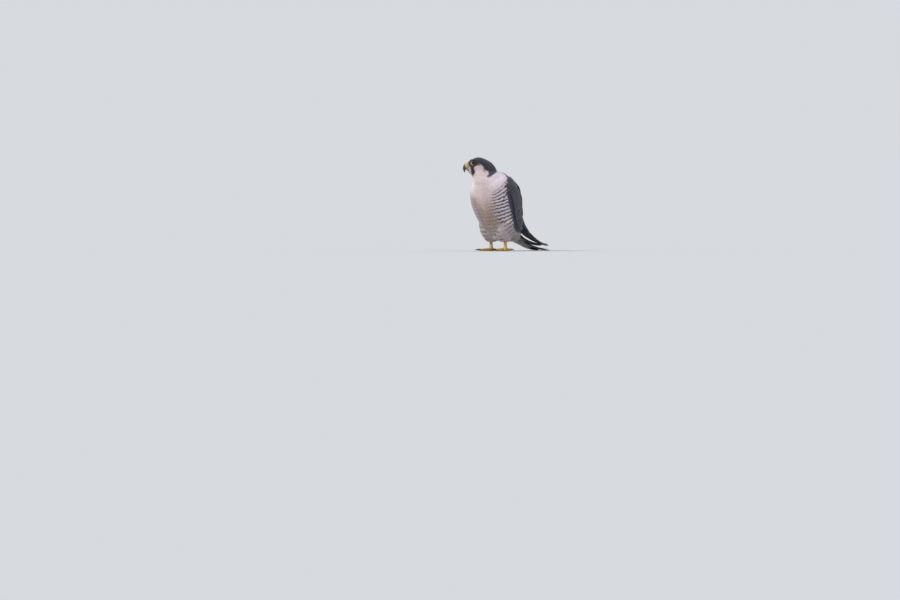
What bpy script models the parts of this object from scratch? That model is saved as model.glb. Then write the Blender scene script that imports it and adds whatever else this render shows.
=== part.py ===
"""A peregrine falcon standing on the floor, life size, as a still model.

Metres, +Z up. The bird faces -Y and its left side is at +X. The head is turned to its right.
The tail is laid on the floor behind the feet.
"""

import math
import random

import bmesh
import bpy
import numpy as np
from mathutils import Matrix

MM = 0.001
GAP = 0.3 * MM
SWELL = 0.42 * MM

# Driving sizes of the bird
HEAD_TURN = math.radians(40)
HEAD_NOD = math.radians(5)
HEAD_CENTRE = np.array([-19, -47, 236]) * MM
EYE_RADIUS = 6.6 * MM
EYE_FORWARD = 21 * MM
EYE_SIDE = 16.6 * MM
EYE_RISE = 4.5 * MM
EYE_AIM = math.radians(28)
LID_RISE = 1.5 * MM
LID_SET_BACK = 0.4 * MM
LID_OPENING = (4.9 * MM, 5.6 * MM)
FOOT_SIDE = 25 * MM
FOOT_BACK = 5 * MM
VANE_THICKNESS = 0.52 * MM
LAYER = 1.1 * MM
FLOOR_GAP = 0.1 * MM

# Torso rings from the tail root to the neck: back, rise, tilt in degrees, half width, depth in
# front of the centre and depth behind it, in millimetres
TORSO_RINGS = (
    (76, 36, 68, 20, 13, 12),
    (62, 44, 60, 32, 22, 21),
    (44, 58, 49, 44, 41, 31),
    (25, 81, 37, 54, 56, 43),
    (9, 109, 24, 61, 65, 53),
    (-2, 138, 18, 64, 72, 57),
    (-11, 165, 20, 62, 72, 51),
    (-19, 186, 24, 54, 69, 40),
    (-25, 200, 27, 45, 65, 31),
)

# Neck rings: side, back, rise, half width, depth in front, depth behind, in millimetres
NECK_RINGS = (
    (-6, -32, 208, 37, 49, 24),
    (-11, -38, 215, 30, 43, 19),
    (-14, -42, 226, 23, 33, 16),
)

NECK_TILT = 18

# Head rings along the head's own forward axis: forward, rise of the centre, half width, height
# above the centre and depth below it, in millimetres
HEAD_RINGS = (
    (-42.5, -26, 8, 6, 8),
    (-38, -22, 16, 11, 14),
    (-30, -17, 22.5, 17, 19),
    (-20, -12, 26, 19.5, 23),
    (-8, -8, 27.5, 22, 25),
    (3, -6, 27.5, 24, 26),
    (14, -6, 25, 22.5, 25),
    (23, -7, 20.5, 20, 22),
    (29, -8, 15.5, 18.5, 18),
    (34, -8, 11, 15, 14),
)

HEAD_SQUARENESS = 2.3

# Each brow: ahead of the eye, over it, out from the head's middle plane, and its radius
BROW = (
    (8.5, 2.0, 9.5, 1.0), (5.5, 5.4, 13.8, 1.9), (0.5, 7.0, 16.8, 2.4),
    (-5, 6.8, 18.4, 2.3), (-12, 4.6, 18.4, 1.4),
)

# Bill rings along its curved axis: forward, rise, tilt in degrees, half width, height above and
# depth below, in millimetres. The first two carry the cere.
BILL_RINGS = (
    (34.35, -2.2, 0, 8.2, 8.6, 6.6),
    (40.2, -3.3, 18, 7.0, 7.5, 5.9),
    (42.7, -5.4, 37, 5.9, 6.2, 4.9),
    (44.6, -8.4, 58, 4.7, 4.8, 3.9),
    (45.6, -12.6, 80, 3.2, 3.3, 2.6),
    (45.0, -17.2, 100, 1.7, 1.8, 1.4),
    (44.0, -20.6, 108, 0.6, 0.6, 0.5),
)

LOWER_BILL_RINGS = (
    (34.35, -13.4, 0, 6.8, 5.4, 4.0),
    (37.6, -13.6, -2, 5.9, 5.2, 3.4),
    (40.6, -13.4, -6, 4.4, 4.2, 2.6),
    (42.0, -13.0, -10, 2.6, 2.4, 1.6),
)

# The mouth's line runs back from the bill: forward and rise of its two ends, how far out it
# starts, and its half width and half height, in millimetres
MOUTH_LINE = ((35, -10), (22, -13))
MOUTH_OUT = 10.8
MOUTH_SIZE = (1.3, 0.45)

# Each nostril and each tooth of the upper bill, as a tapered rod: forward, side, rise and radius
# of its two ends, in millimetres
NOSTRIL = ((37.4, 5.2, 0.6, 1.3), (38.0, 10, 0.8, 1.5))
TOOTH = ((42.0, 3.6, -7.8, 1.5), (41.6, 3.2, -11.8, 0.5))

# Thigh rings: side, back, rise, half width, half depth, in millimetres
THIGH_RINGS = (
    (23.5, 5, 24.5, 12, 12.5),
    (23, 4.5, 27.5, 15.2, 15),
    (23.5, 3.5, 31.5, 17, 17.5),
    (25, 1.5, 38, 19.5, 21),
    (27, -1, 48, 22, 24),
    (30, -2, 64, 23, 26),
    (33, -1, 82, 22, 25),
    (35, 2, 96, 18, 21),
)

# The folded wing's surface is spanned by three lines from shoulder to tip: the front edge, the
# middle and the edge along the back, each as side, back, rise in millimetres
WING_FRONT = (
    (54, -34, 190), (66, -32, 159), (68, -23, 127), (64, -6, 96), (55, 14, 69),
    (46, 50, 49), (37, 98, 35), (28, 150, 24), (19, 206, 17),
)
WING_MIDDLE = (
    (48, 4, 205), (56, 16, 178), (58, 30, 146), (53, 41, 113), (44, 57, 82),
    (37, 80, 60), (29, 122, 41), (23, 165, 27), (18, 207, 19),
)
WING_BACK = (
    (21, 27, 199), (15, 49, 174), (10, 63, 141), (8, 72, 111), (7, 85, 86),
    (8, 104, 65), (10, 133, 46), (13, 168, 29.5), (16, 208, 20),
)
WING_CORE_END = 0.60
WING_STATIONS = (0, 0.07, 0.14, 0.23, 0.33, 0.46, 0.60, 0.72, 0.86)
WING_THICKNESS = 11 * MM
WING_ROUNDING = 3.2 * MM
SHOULDER_DIP = 2.0 * MM

# The primaries' tips from the outermost in, and the front-to-back places of the first and last
# root and tip, with their half widths in millimetres
PRIMARY_ROOT = 0.44
PRIMARY_TIPS = (0.985, 1.0, 0.962, 0.918, 0.872, 0.826, 0.780, 0.735)
PRIMARY_ACROSS = ((0.14, 0.64), (0.30, 0.64))
PRIMARY_WIDTHS = (6.6, 8.2)

# Tiers of wing feathers: count, then the first and last of the roots and tips along the wing,
# the roots and tips across it, the half widths, the sunk root, the first and last height of the
# tips in millimetres, and the tilt
WING_TIERS = (
    (7, (0.34, 0.30), (0.690, 0.600), (0.50, 0.90), (0.46, 0.93), (8.5, 8.0), -3.2, (0.2, 0.7), -0.14),
    (6, (0.24, 0.26), (0.440, 0.455), (0.14, 0.82), (0.12, 0.82), (10.5, 9.0), -2.4, (1.3, 1.4), -0.11),
    (6, (0.14, 0.15), (0.300, 0.315), (0.12, 0.80), (0.12, 0.80), (10.5, 9.0), -2.2, (1.4, 1.5), -0.11),
    (3, (0.14, 0.14), (0.385, 0.400), (0.76, 0.95), (0.74, 0.94), (9.5, 8.5), -1.6, (3.2, 3.4), -0.11),
    (3, (0.03, 0.03), (0.225, 0.235), (0.72, 0.95), (0.70, 0.94), (9.5, 8.5), -1.6, (3.3, 3.5), -0.11),
)

# Tail rings of its axis: back, rise in millimetres
TAIL_LINE = ((72, 39.5), (92, 29), (120, 17.5), (150, 8.8), (182, 3.3), (214, 1.9))

# The tail's root: share along the axis, half width and half height in millimetres
TAIL_ROOT = ((0.13, 17, 9.5), (0.26, 15, 7.6), (0.38, 12, 5.2), (0.48, 8, 3))
TAIL_SHARES = (0.0, 0.3, 0.62, 0.92, 1.0)

# Tail feathers: first and each next pair's place out from the middle at root and tip, height of
# the top one and step down to each next, half width, and where they start, in millimetres
TAIL_PAIRS = 6
TAIL_OUT_ROOT = (0.6, 1.5)
TAIL_OUT_TIP = (1.2, 3.7)
TAIL_HEIGHT = (3.4, 0.92)
TAIL_HALF_WIDTH = 8.5
TAIL_START = 0.10
TAIL_SHORTER = 0.007

# Tail coverts: places out from the middle, half width, drop with each millimetre outwards, and
# for the upper and the under ones the end, how much of the offset stays at it, root and tip height
COVERT_OFFSETS = ((0, 0), (1, 7), (-1, 7), (1, 13), (-1, 13))
COVERT_HALF_WIDTH = 6.5
COVERT_DROP = 0.09
COVERT_START = 0.08
COVERT_ROWS = ((0.52, 0.8, 8.0, 4.9, -0.08), (0.56, 0.7, -8.0, -4.0, 0.08))
COVERT_SHORTER = 0.006

# Leg rings: rise and radius in millimetres
TARSUS_RINGS = ((0, 5.6), (1.6, 7.4), (4.6, 7.8), (8.0, 6.4), (11.5, 4.9), (16.0, 4.2), (24.2, 4.6))

# Toes: name, heading in degrees from straight ahead with outwards positive, length, base
# radius, claw length, in millimetres
TOES = (
    ("middle", 4, 42, 4.1, 13),
    ("inner", -32, 29, 4.3, 14),
    ("outer", 42, 33, 3.9, 12),
    ("hind", 172, 19, 4.3, 15),
)

TOE_START = 4.0
TOE_TAPER = 0.26
TOE_WIDTH = (0.92, 0.10)
TOE_DEPTH = (0.86, 0.42)
CLAW_BEND = (math.radians(-25), math.radians(50))
CLAW_TAPER = (0.72, 0.8, 0.10)

# Colours as linear red, green, blue
SLATE = (0.055, 0.062, 0.085)
PALE = (0.56, 0.47, 0.46)
BARRED = (0.36, 0.32, 0.32)
FLIGHT = (0.040, 0.042, 0.055)
YELLOW = (0.75, 0.50, 0.10)
HORN = (0.05, 0.06, 0.075)
CLAW = (0.015, 0.015, 0.016)
EYE = (0.012, 0.008, 0.006)

for old in list(bpy.data.objects):
    bpy.data.objects.remove(old)

BIRD = bpy.data.collections.new("peregrine_falcon")
CUTTERS = bpy.data.collections.new("cutters")
bpy.context.scene.collection.children.link(BIRD)
bpy.context.scene.collection.children.link(CUTTERS)


def material(name, colour, roughness):
    """A Principled material of one colour."""
    made = bpy.data.materials.new(name)
    made.use_nodes = True
    shader = made.node_tree.nodes["Principled BSDF"]
    shader.inputs["Base Color"].default_value = (*colour, 1)
    shader.inputs["Roughness"].default_value = roughness
    shader.inputs["Metallic"].default_value = 0
    return made


MATERIALS = {
    "slate": material("slate_plumage", SLATE, 0.8),
    "pale": material("pale_plumage", PALE, 0.9),
    "barred": material("barred_plumage", BARRED, 0.9),
    "flight": material("flight_feathers", FLIGHT, 0.6),
    "skin": material("yellow_skin", YELLOW, 0.5),
    "horn": material("bill_horn", HORN, 0.3),
    "claw": material("claw_horn", CLAW, 0.3),
    "eye": material("eye", EYE, 0.05),
}


# Curves and rings

def spline(points, share):
    """A point of the Catmull-Rom curve through the points, at share 0 to 1 along them."""
    points = np.asarray(points, float)
    place = min(max(share, 0.0), 1.0) * (len(points) - 1)
    first = min(int(place), len(points) - 2)
    t = place - first
    before = points[first - 1] if first else 2 * points[0] - points[1]
    after = points[first + 2] if first + 2 < len(points) else 2 * points[-1] - points[-2]
    a, b = points[first], points[first + 1]
    return 0.5 * (
        2 * a + (b - before) * t
        + (2 * before - 5 * a + 4 * b - after) * t * t
        + (3 * a - before - 3 * b + after) * t ** 3
    )


def unit(vector):
    return vector / np.linalg.norm(vector)


def oval(centre, side, ahead, half_width, depth_ahead, depth_behind, count, squareness=2.0):
    """A closed ring of points: an oval whose two ends have their own depths."""
    ring = []
    for i in range(count):
        angle = 2 * math.pi * i / count
        c, s = math.cos(angle), math.sin(angle)
        across = math.copysign(abs(c) ** (2 / squareness), c) * half_width
        along = math.copysign(abs(s) ** (2 / squareness), s)
        along *= depth_ahead if s > 0 else depth_behind
        ring.append(centre + side * across + ahead * along)
    return np.array(ring)


def mesh_object(name, points, faces, collection):
    """A closed mesh object with its faces turned outwards."""
    mesh = bpy.data.meshes.new(name)
    mesh.from_pydata([tuple(p) for p in points], [], [tuple(f) for f in faces])
    shaped = bmesh.new()
    shaped.from_mesh(mesh)
    bmesh.ops.recalc_face_normals(shaped, faces=shaped.faces)
    if shaped.calc_volume(signed=True) < 0:
        bmesh.ops.reverse_faces(shaped, faces=shaped.faces)
    shaped.to_mesh(mesh)
    shaped.free()
    made = bpy.data.objects.new(name, mesh)
    collection.objects.link(made)
    return made


def loft(name, rings, collection=BIRD):
    """A closed solid through rings of equal point counts, with its two ends capped."""
    count = len(rings[0])
    points = np.concatenate(rings)
    faces = []
    for r in range(len(rings) - 1):
        for i in range(count):
            j = (i + 1) % count
            a, b = r * count + i, r * count + j
            c, d = b + count, a + count
            faces += [(a, b, c), (a, c, d)]
    last = (len(rings) - 1) * count
    faces.append(tuple(range(count - 1, -1, -1)))
    faces.append(tuple(range(last, last + count)))
    return mesh_object(name, points, faces, collection)


def resampled(table, count):
    """Rows of a table of rings, smoothed through a curve to the count asked for."""
    return [spline(table, i / (count - 1)) for i in range(count)]


# Solid operations

def hidden(cutter):
    """Marks a helper, which is no part of the bird."""
    cutter.hide_render = True
    cutter.display_type = "WIRE"
    return cutter


def applied(target):
    """Bakes the target's modifiers into its mesh."""
    graph = bpy.context.evaluated_depsgraph_get()
    baked = bpy.data.meshes.new_from_object(target.evaluated_get(graph))
    target.modifiers.clear()
    target.data = baked


def largest_only(target):
    """Keeps the target's largest closed surface and drops loose scraps and sealed hollows."""
    shaped = bmesh.new()
    shaped.from_mesh(target.data)
    bmesh.ops.triangulate(shaped, faces=shaped.faces)
    unseen = set(shaped.faces)
    groups = []
    while unseen:
        stack = [unseen.pop()]
        group = []
        while stack:
            face = stack.pop()
            group.append(face)
            for edge in face.edges:
                for other in edge.link_faces:
                    if other in unseen:
                        unseen.discard(other)
                        stack.append(other)
        groups.append(group)

    def volume(group):
        corners = np.array([[v.co[:] for v in face.verts] for face in group])
        return abs(np.linalg.det(corners).sum()) / 6

    groups.sort(key=volume)
    scraps = {face for group in groups[:-1] for face in group}
    bmesh.ops.delete(shaped, geom=list(scraps), context="FACES")
    shaped.to_mesh(target.data)
    shaped.free()


def fused(target, pieces, solver="EXACT"):
    """Joins closed pieces to the target by one union on their collection."""
    joined = bpy.data.collections.new("joined")
    bpy.context.scene.collection.children.link(joined)
    for piece in pieces:
        for home in list(piece.users_collection):
            home.objects.unlink(piece)
        joined.objects.link(piece)
    union = target.modifiers.new("union", "BOOLEAN")
    union.operation = "UNION"
    union.operand_type = "COLLECTION"
    union.collection = joined
    union.solver = solver
    applied(target)
    for piece in pieces:
        bpy.data.objects.remove(piece)
    bpy.data.collections.remove(joined)
    largest_only(target)
    return target


def carved(target, cutter, solver="EXACT"):
    """Cuts the cutter's shape out of the target."""
    cut = target.modifiers.new("cut", "BOOLEAN")
    cut.operation = "DIFFERENCE"
    cut.object = cutter
    cut.solver = solver
    applied(target)
    largest_only(target)
    return target


def swollen(source, distance=SWELL):
    """A cutter: the source's shape grown outwards all over."""
    mesh = source.data.copy()
    grown = bpy.data.objects.new(source.name + "_grown", mesh)
    CUTTERS.objects.link(grown)
    normals = np.array([v.normal[:] for v in mesh.vertices])
    points = np.array([v.co[:] for v in mesh.vertices])
    mesh.vertices.foreach_set("co", (points + normals * distance).ravel())
    mesh.update()
    return hidden(grown)


def grown_cutter(rings):
    """A cutter through rings already grown, with its two ends moved out as far."""
    rings = list(rings)
    for end, beside in ((0, 1), (-1, -2)):
        outwards = unit(rings[end].mean(axis=0) - rings[beside].mean(axis=0))
        rings[end] = rings[end] + outwards * SWELL
    return hidden(loft("grown", rings, CUTTERS))


def finished(target, material_name, smooth_degrees=40):
    """Merges flat faces that the cuts have split, and gives a node its material and smooth shading."""
    shaped = bmesh.new()
    shaped.from_mesh(target.data)
    bmesh.ops.dissolve_limit(
        shaped, angle_limit=math.radians(0.5), verts=shaped.verts, edges=shaped.edges,
        use_dissolve_boundaries=False,
    )
    bmesh.ops.triangulate(shaped, faces=shaped.faces)
    shaped.to_mesh(target.data)
    shaped.free()
    target.data.materials.clear()
    target.data.materials.append(MATERIALS[material_name])
    target.data.shade_smooth()
    target.data.set_sharp_from_angle(angle=math.radians(smooth_degrees))
    return target


# Torso and neck

def torso_ring(row, grow=0.0, count=24):
    back, rise, tilt, half_width, ahead, behind = row
    tilt = math.radians(tilt)
    centre = np.array([0, back, rise]) * MM
    side = np.array([1.0, 0, 0])
    forward = np.array([0, -math.cos(tilt), -math.sin(tilt)])
    sizes = (half_width * MM + grow, ahead * MM + grow, behind * MM + grow)
    return oval(centre, side, forward, *sizes, count, 2.15)


def torso_rings(grow=0.0):
    return [torso_ring(row, grow) for row in resampled(TORSO_RINGS, 15)]


def make_torso(head_cutter):
    return finished(carved(loft("torso", torso_rings()), head_cutter), "barred")


def neck_ring(row, grow=0.0, count=24):
    side, back, rise, half_width, ahead, behind = row
    centre = np.array([side, back, rise]) * MM
    tilt = math.radians(NECK_TILT)
    forward = np.array([0, -math.cos(tilt), -math.sin(tilt)])
    across = np.array([1.0, 0, 0])
    sizes = (half_width * MM + grow, ahead * MM + grow, behind * MM + grow)
    return oval(centre, across, forward, *sizes, count, 2.1)


def neck_rings(grow=0.0):
    tilt = math.radians(TORSO_RINGS[-1][2])
    up = np.array([0, -math.sin(tilt), math.cos(tilt)])
    first = torso_ring(TORSO_RINGS[-1], grow) - up * 2 * MM
    return [first] + [neck_ring(row, grow) for row in resampled(NECK_RINGS, 6)]


def make_neck(cutters):
    neck = loft("neck", neck_rings())
    for cutter in cutters:
        carved(neck, cutter)
    return finished(neck, "pale")


# Head

def head_axes():
    """The head's own forward, left and up directions."""
    level = np.array([-math.sin(HEAD_TURN), -math.cos(HEAD_TURN), 0])
    up = np.array([0, 0, 1.0])
    forward = level * math.cos(HEAD_NOD) - up * math.sin(HEAD_NOD)
    left = np.cross(up, forward)
    return forward, unit(left), np.cross(forward, unit(left))


FORWARD, LEFT, UP = head_axes()


def at_head(forward, left, up):
    """A world point from the head's own coordinates in metres."""
    return HEAD_CENTRE + FORWARD * forward + LEFT * left + UP * up


def head_ring(row, grow=0.0, count=22):
    forward, rise, half_width, above, below = (x * MM for x in row)
    sizes = (half_width + grow, above + grow, below + grow)
    return oval(at_head(forward, 0, rise), LEFT, UP, *sizes, count, HEAD_SQUARENESS)


def head_rings(grow=0.0):
    return [head_ring(row, grow) for row in resampled(HEAD_RINGS, 13)]


def eye_place(side):
    """Centre of an eye, and the direction it looks along."""
    aim = LEFT * side * math.cos(EYE_AIM) + FORWARD * math.sin(EYE_AIM)
    return at_head(EYE_FORWARD, side * EYE_SIDE, EYE_RISE), unit(aim)


def ball(name, centre, radius, collection=BIRD, segments=16, rings=10):
    """A sphere."""
    mesh = bpy.data.meshes.new(name)
    shaped = bmesh.new()
    bmesh.ops.create_uvsphere(shaped, u_segments=segments, v_segments=rings, radius=radius)
    shaped.transform(Matrix.Translation(centre))
    shaped.to_mesh(mesh)
    shaped.free()
    made = bpy.data.objects.new(name, mesh)
    collection.objects.link(made)
    return made


def rod(name, start, end, start_radius, end_radius, collection=BIRD, sides=12):
    """A closed round bar from one point to another, which may taper."""
    along = unit(end - start)
    across = unit(np.cross(along, UP if abs(along @ UP) < 0.9 else FORWARD))
    third = np.cross(along, across)
    rings = [
        oval(point, across, third, radius, radius, radius, sides)
        for point, radius in ((start, start_radius), (end, end_radius))
    ]
    return loft(name, rings, collection)


def head_side(forward, rise):
    """How far the head's surface is from its middle plane, all in millimetres."""
    rings = np.array(HEAD_RINGS)
    middle, half_width, above, below = (np.interp(forward, rings[:, 0], rings[:, k]) for k in range(1, 5))
    reach = abs(rise - middle) / (above if rise > middle else below)
    return half_width * max(0.0, 1 - reach ** HEAD_SQUARENESS) ** (1 / HEAD_SQUARENESS)


def brow(side):
    """The ridge over an eye."""
    rings = []
    for ahead, over, out, radius in resampled(BROW, 7):
        middle = at_head(EYE_FORWARD + ahead * MM, side * out * MM, EYE_RISE + over * MM)
        rings.append(oval(middle, LEFT, UP, radius * 1.4 * MM, radius * MM, radius * MM, 8))
    return loft("brow", rings)


def mouth_line(side):
    """The cutter for the line of the mouth, back from the bill."""
    half_width, half_height = (size * MM for size in MOUTH_SIZE)
    rings = []
    for forward, rise in resampled(MOUTH_LINE, 6):
        out = head_side(forward, rise) if forward < HEAD_RINGS[-1][0] else MOUTH_OUT
        centre = at_head(forward * MM, side * out * MM, rise * MM)
        rings.append(oval(centre, LEFT, UP, half_width, half_height, half_height, 8))
    return hidden(loft("mouth", rings, CUTTERS))


def make_head():
    """The head with a cup and lids for each eye, the brows and the line of the mouth."""
    head = loft("head", head_rings())
    raised = []
    for side in (1, -1):
        centre, aim = eye_place(side)
        raised.append(ball("lids", centre - aim * LID_SET_BACK, EYE_RADIUS + LID_RISE))
        raised.append(brow(side))
    fused(head, raised)
    for side in (1, -1):
        centre, aim = eye_place(side)
        opening = rod("opening", centre, centre + aim * 2 * EYE_RADIUS, *LID_OPENING, CUTTERS, 16)
        carved(head, hidden(opening))
        carved(head, hidden(ball("cup", centre, EYE_RADIUS + GAP, CUTTERS)))
        carved(head, mouth_line(side))
    return head


def bill_ring(row, count=20):
    forward, rise, tilt, half_width, above, below = row
    tilt = math.radians(tilt)
    centre = at_head(forward * MM, 0, rise * MM)
    up = UP * math.cos(tilt) + FORWARD * math.sin(tilt)
    return oval(centre, LEFT, up, half_width * MM, above * MM, below * MM, count, 2.2)


def head_rod(name, ends, side, collection):
    """A tapered rod between two places of the head."""
    places = [at_head(forward * MM, side * out * MM, rise * MM) for forward, out, rise, _ in ends]
    return rod(name, *places, ends[0][3] * MM, ends[1][3] * MM, collection, 10)


def make_bill():
    """The cere with its nostrils, the hooked upper bill with its tooth, and the lower bill."""
    cere_rings = [bill_ring(row) for row in resampled(BILL_RINGS[:2], 4)]
    cere = loft("cere", cere_rings)
    for side in (1, -1):
        carved(cere, hidden(head_rod("nostril", NOSTRIL, side, CUTTERS)))
    upper_rings = [bill_ring(row) for row in resampled(BILL_RINGS[1:], 12)]
    upper_rings[0] = upper_rings[0] + FORWARD * GAP
    upper = loft("bill_upper", upper_rings)
    fused(upper, [head_rod("tooth", TOOTH, side, BIRD) for side in (1, -1)])
    lower = loft("bill_lower", [bill_ring(row, 16) for row in resampled(LOWER_BILL_RINGS, 6)])
    carved(lower, swollen(upper))
    carved(lower, swollen(cere))
    return cere, upper, lower


def make_eyes():
    for side, name in ((1, "eye_left"), (-1, "eye_right")):
        centre, _ = eye_place(side)
        finished(ball(name, centre, EYE_RADIUS), "eye", 180)


# Feathers

# Feather outlines: share of the length, and of the half width there
ROUND_TIP = ((0, 0.62), (0.4, 1.0), (0.8, 0.92), (0.93, 0.66), (1, 0.22))
POINTED_TIP = ((0, 0.7), (0.4, 1.0), (0.7, 0.80), (0.93, 0.40), (1, 0.12))


def half_widths(outline, shares):
    """The share of the half width at each share of the length."""
    return np.interp(shares, *np.array(outline).T)


def vane(centres, normals, inner, outer, widths, tilt=0.0, thickness=VANE_THICKNESS, droop=0.06):
    """One feather as a thin closed sheet along the centres, split alike on both faces.

    What would reach below the floor lies flat on it.
    """
    tops, bottoms = [], []
    for k, (centre, normal) in enumerate(zip(centres, normals)):
        ahead = centres[min(k + 1, len(centres) - 1)] - centres[max(k - 1, 0)]
        across = unit(np.cross(normal, ahead))
        half = thickness * (0.5 if k < len(centres) - 1 else 0.35)
        row = []
        for reach in (-inner * widths[k], 0.0, outer * widths[k]):
            lift = tilt * reach - droop * abs(reach) ** 2 / max(inner, outer)
            row.append(centre + across * reach + normal * lift)
        top = np.array([p + normal * half for p in row])
        bottom = np.array([p - normal * half for p in row])
        top[:, 2] = np.maximum(top[:, 2], thickness)
        bottom[:, 2] = np.maximum(bottom[:, 2], 0)
        tops.append(top)
        bottoms.append(bottom)
    rows = len(tops)
    points = [p for row in tops for p in row] + [p for row in bottoms for p in row]
    under = rows * 3

    def spot(k, j):
        return k * 3 + j

    faces = []
    for k in range(rows - 1):
        for j in range(2):
            a, b, c, d = spot(k, j), spot(k, j + 1), spot(k + 1, j + 1), spot(k + 1, j)
            faces += [(a, b, c), (a, c, d)]
            faces += [(a + under, c + under, b + under), (a + under, d + under, c + under)]
        for j in (0, 2):
            a, b = spot(k, j), spot(k + 1, j)
            faces += [(a, b, b + under), (a, b + under, a + under)]
    for k in (0, rows - 1):
        for j in range(2):
            a, b = spot(k, j), spot(k, j + 1)
            faces += [(a, b, b + under), (a, b + under, a + under)]
    return mesh_object("vane", points, faces, BIRD)


# Wings

def wing_point(u, v, side):
    """A point of the folded wing's outer surface: u from shoulder to tip, v from front to back."""
    front, middle, back = (spline(line, u) for line in (WING_FRONT, WING_MIDDLE, WING_BACK))
    point = front * (1 - v) * (1 - 2 * v) + middle * 4 * v * (1 - v) + back * v * (2 * v - 1)
    return point * np.array([side, 1, 1]) * MM


def wing_normal(u, v, side):
    """The outward direction of the wing's surface."""
    step = 0.02
    u = min(max(u, step), 1 - step)
    along = wing_point(u + step, v, side) - wing_point(u - step, v, side)
    across = wing_point(u, v + step, side) - wing_point(u, v - step, side)
    return unit(np.cross(along, across)) * side


def wing_vane(side, root, tip, sink, proud, half_width, outline, tilt=0.0):
    """A feather laid on the wing from its root to its tip, given as (u, v), with its height there."""
    between = [u for u in WING_STATIONS if root[0] + 0.035 < u < tip[0] - 0.045]
    places = [root[0]] + between + [tip[0] - 0.022, tip[0]]
    shares = [(u - root[0]) / (tip[0] - root[0]) for u in places]
    centres, normals = [], []
    for u, share in zip(places, shares):
        v = root[1] + (tip[1] - root[1]) * share
        normal = wing_normal(u, v, side)
        rise = sink + (proud - sink) * min(1.0, share * 1.6)
        centres.append(wing_point(u, v, side) + normal * rise)
        normals.append(normal)
    return vane(centres, normals, half_width, half_width, half_widths(outline, shares), tilt * side)


def tier(side, rng, count, roots, tips, v_roots, v_tips, width, sink, proud, tilt):
    """One row of like feathers across the wing."""
    made = []
    for i in range(count):
        share = i / (count - 1)
        u_root, u_tip, v_root, v_tip, half_width, height = (
            first + (last - first) * share for first, last in (roots, tips, v_roots, v_tips, width, proud)
        )
        u_tip += rng.uniform(-0.006, 0.006)
        made.append(wing_vane(
            side, (u_root, v_root), (u_tip, v_tip), sink * MM, height * MM,
            half_width * MM, ROUND_TIP, tilt,
        ))
    return made


def primaries(side, rng):
    """The long outer flight feathers, the outermost lowest, each a little shorter than the last."""
    made = []
    for i, u_tip in enumerate(PRIMARY_TIPS):
        share = i / (len(PRIMARY_TIPS) - 1)
        v_root, v_tip, half_width = (
            first + (last - first) * share for first, last in (*PRIMARY_ACROSS, PRIMARY_WIDTHS)
        )
        u_tip += rng.uniform(-0.003, 0.003)
        height = -WING_THICKNESS * 0.86 + LAYER * i
        made.append(wing_vane(
            side, (PRIMARY_ROOT, v_root), (u_tip, v_tip), height, height, half_width * MM, POINTED_TIP,
        ))
    return made


def wing_core(name, side):
    """The wing's body, under the feathers: arm, hand and the stack of feather roots."""
    rings = []
    across = 7
    for u in WING_STATIONS[:WING_STATIONS.index(WING_CORE_END) + 1]:
        depth = WING_THICKNESS * (1.0 - 0.2 * u)
        outer, inner = [], []
        for j in range(across):
            v = j / (across - 1)
            normal = wing_normal(u, v, side)
            rounding = WING_ROUNDING * (2 * v - 1) ** 4
            dip = SHOULDER_DIP * max(0.0, 1 - u / 0.1)
            surface = wing_point(u, v, side)
            outer.append(surface - normal * (rounding + dip))
            inner.append(surface - normal * (depth - rounding * 0.6))
        rings.append(np.array(outer + inner[::-1]))
    return loft(name, rings)


def make_wing(side, name, cutters):
    rng = random.Random(7 if side > 0 else 8)
    wing = wing_core(name, side)
    vanes = primaries(side, rng)
    for row in WING_TIERS:
        vanes += tier(side, rng, *row)
    fused(wing, vanes)
    for cutter in cutters:
        carved(wing, cutter)
    return finished(wing, "flight", 30)


# Tail

def tail_frame(share):
    """A point of the tail's axis, and the direction up from it."""
    here = spline(TAIL_LINE, share)
    step = 0.03
    ahead = spline(TAIL_LINE, min(share + step, 1)) - spline(TAIL_LINE, max(share - step, 0))
    up = unit(np.array([0, -ahead[1], ahead[0]]))
    return np.array([0, here[0], here[1]]) * MM, up


def tail_vane(side, root_side, tip_side, start, end, height, end_height, inner, outer, outline, tilt):
    widths = half_widths(outline, TAIL_SHARES)
    centres, normals = [], []
    for share in TAIL_SHARES:
        place = start + (end - start) * share
        point, up = tail_frame(place)
        out = root_side + (tip_side - root_side) * share
        rise = height + (end_height - height) * share
        centres.append(point + np.array([side * out, 0, 0]) + up * rise)
        normals.append(up)
    if side > 0:
        return vane(centres, normals, outer, inner, widths, tilt)
    return vane(centres, normals, inner, outer, widths, -tilt)


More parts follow.
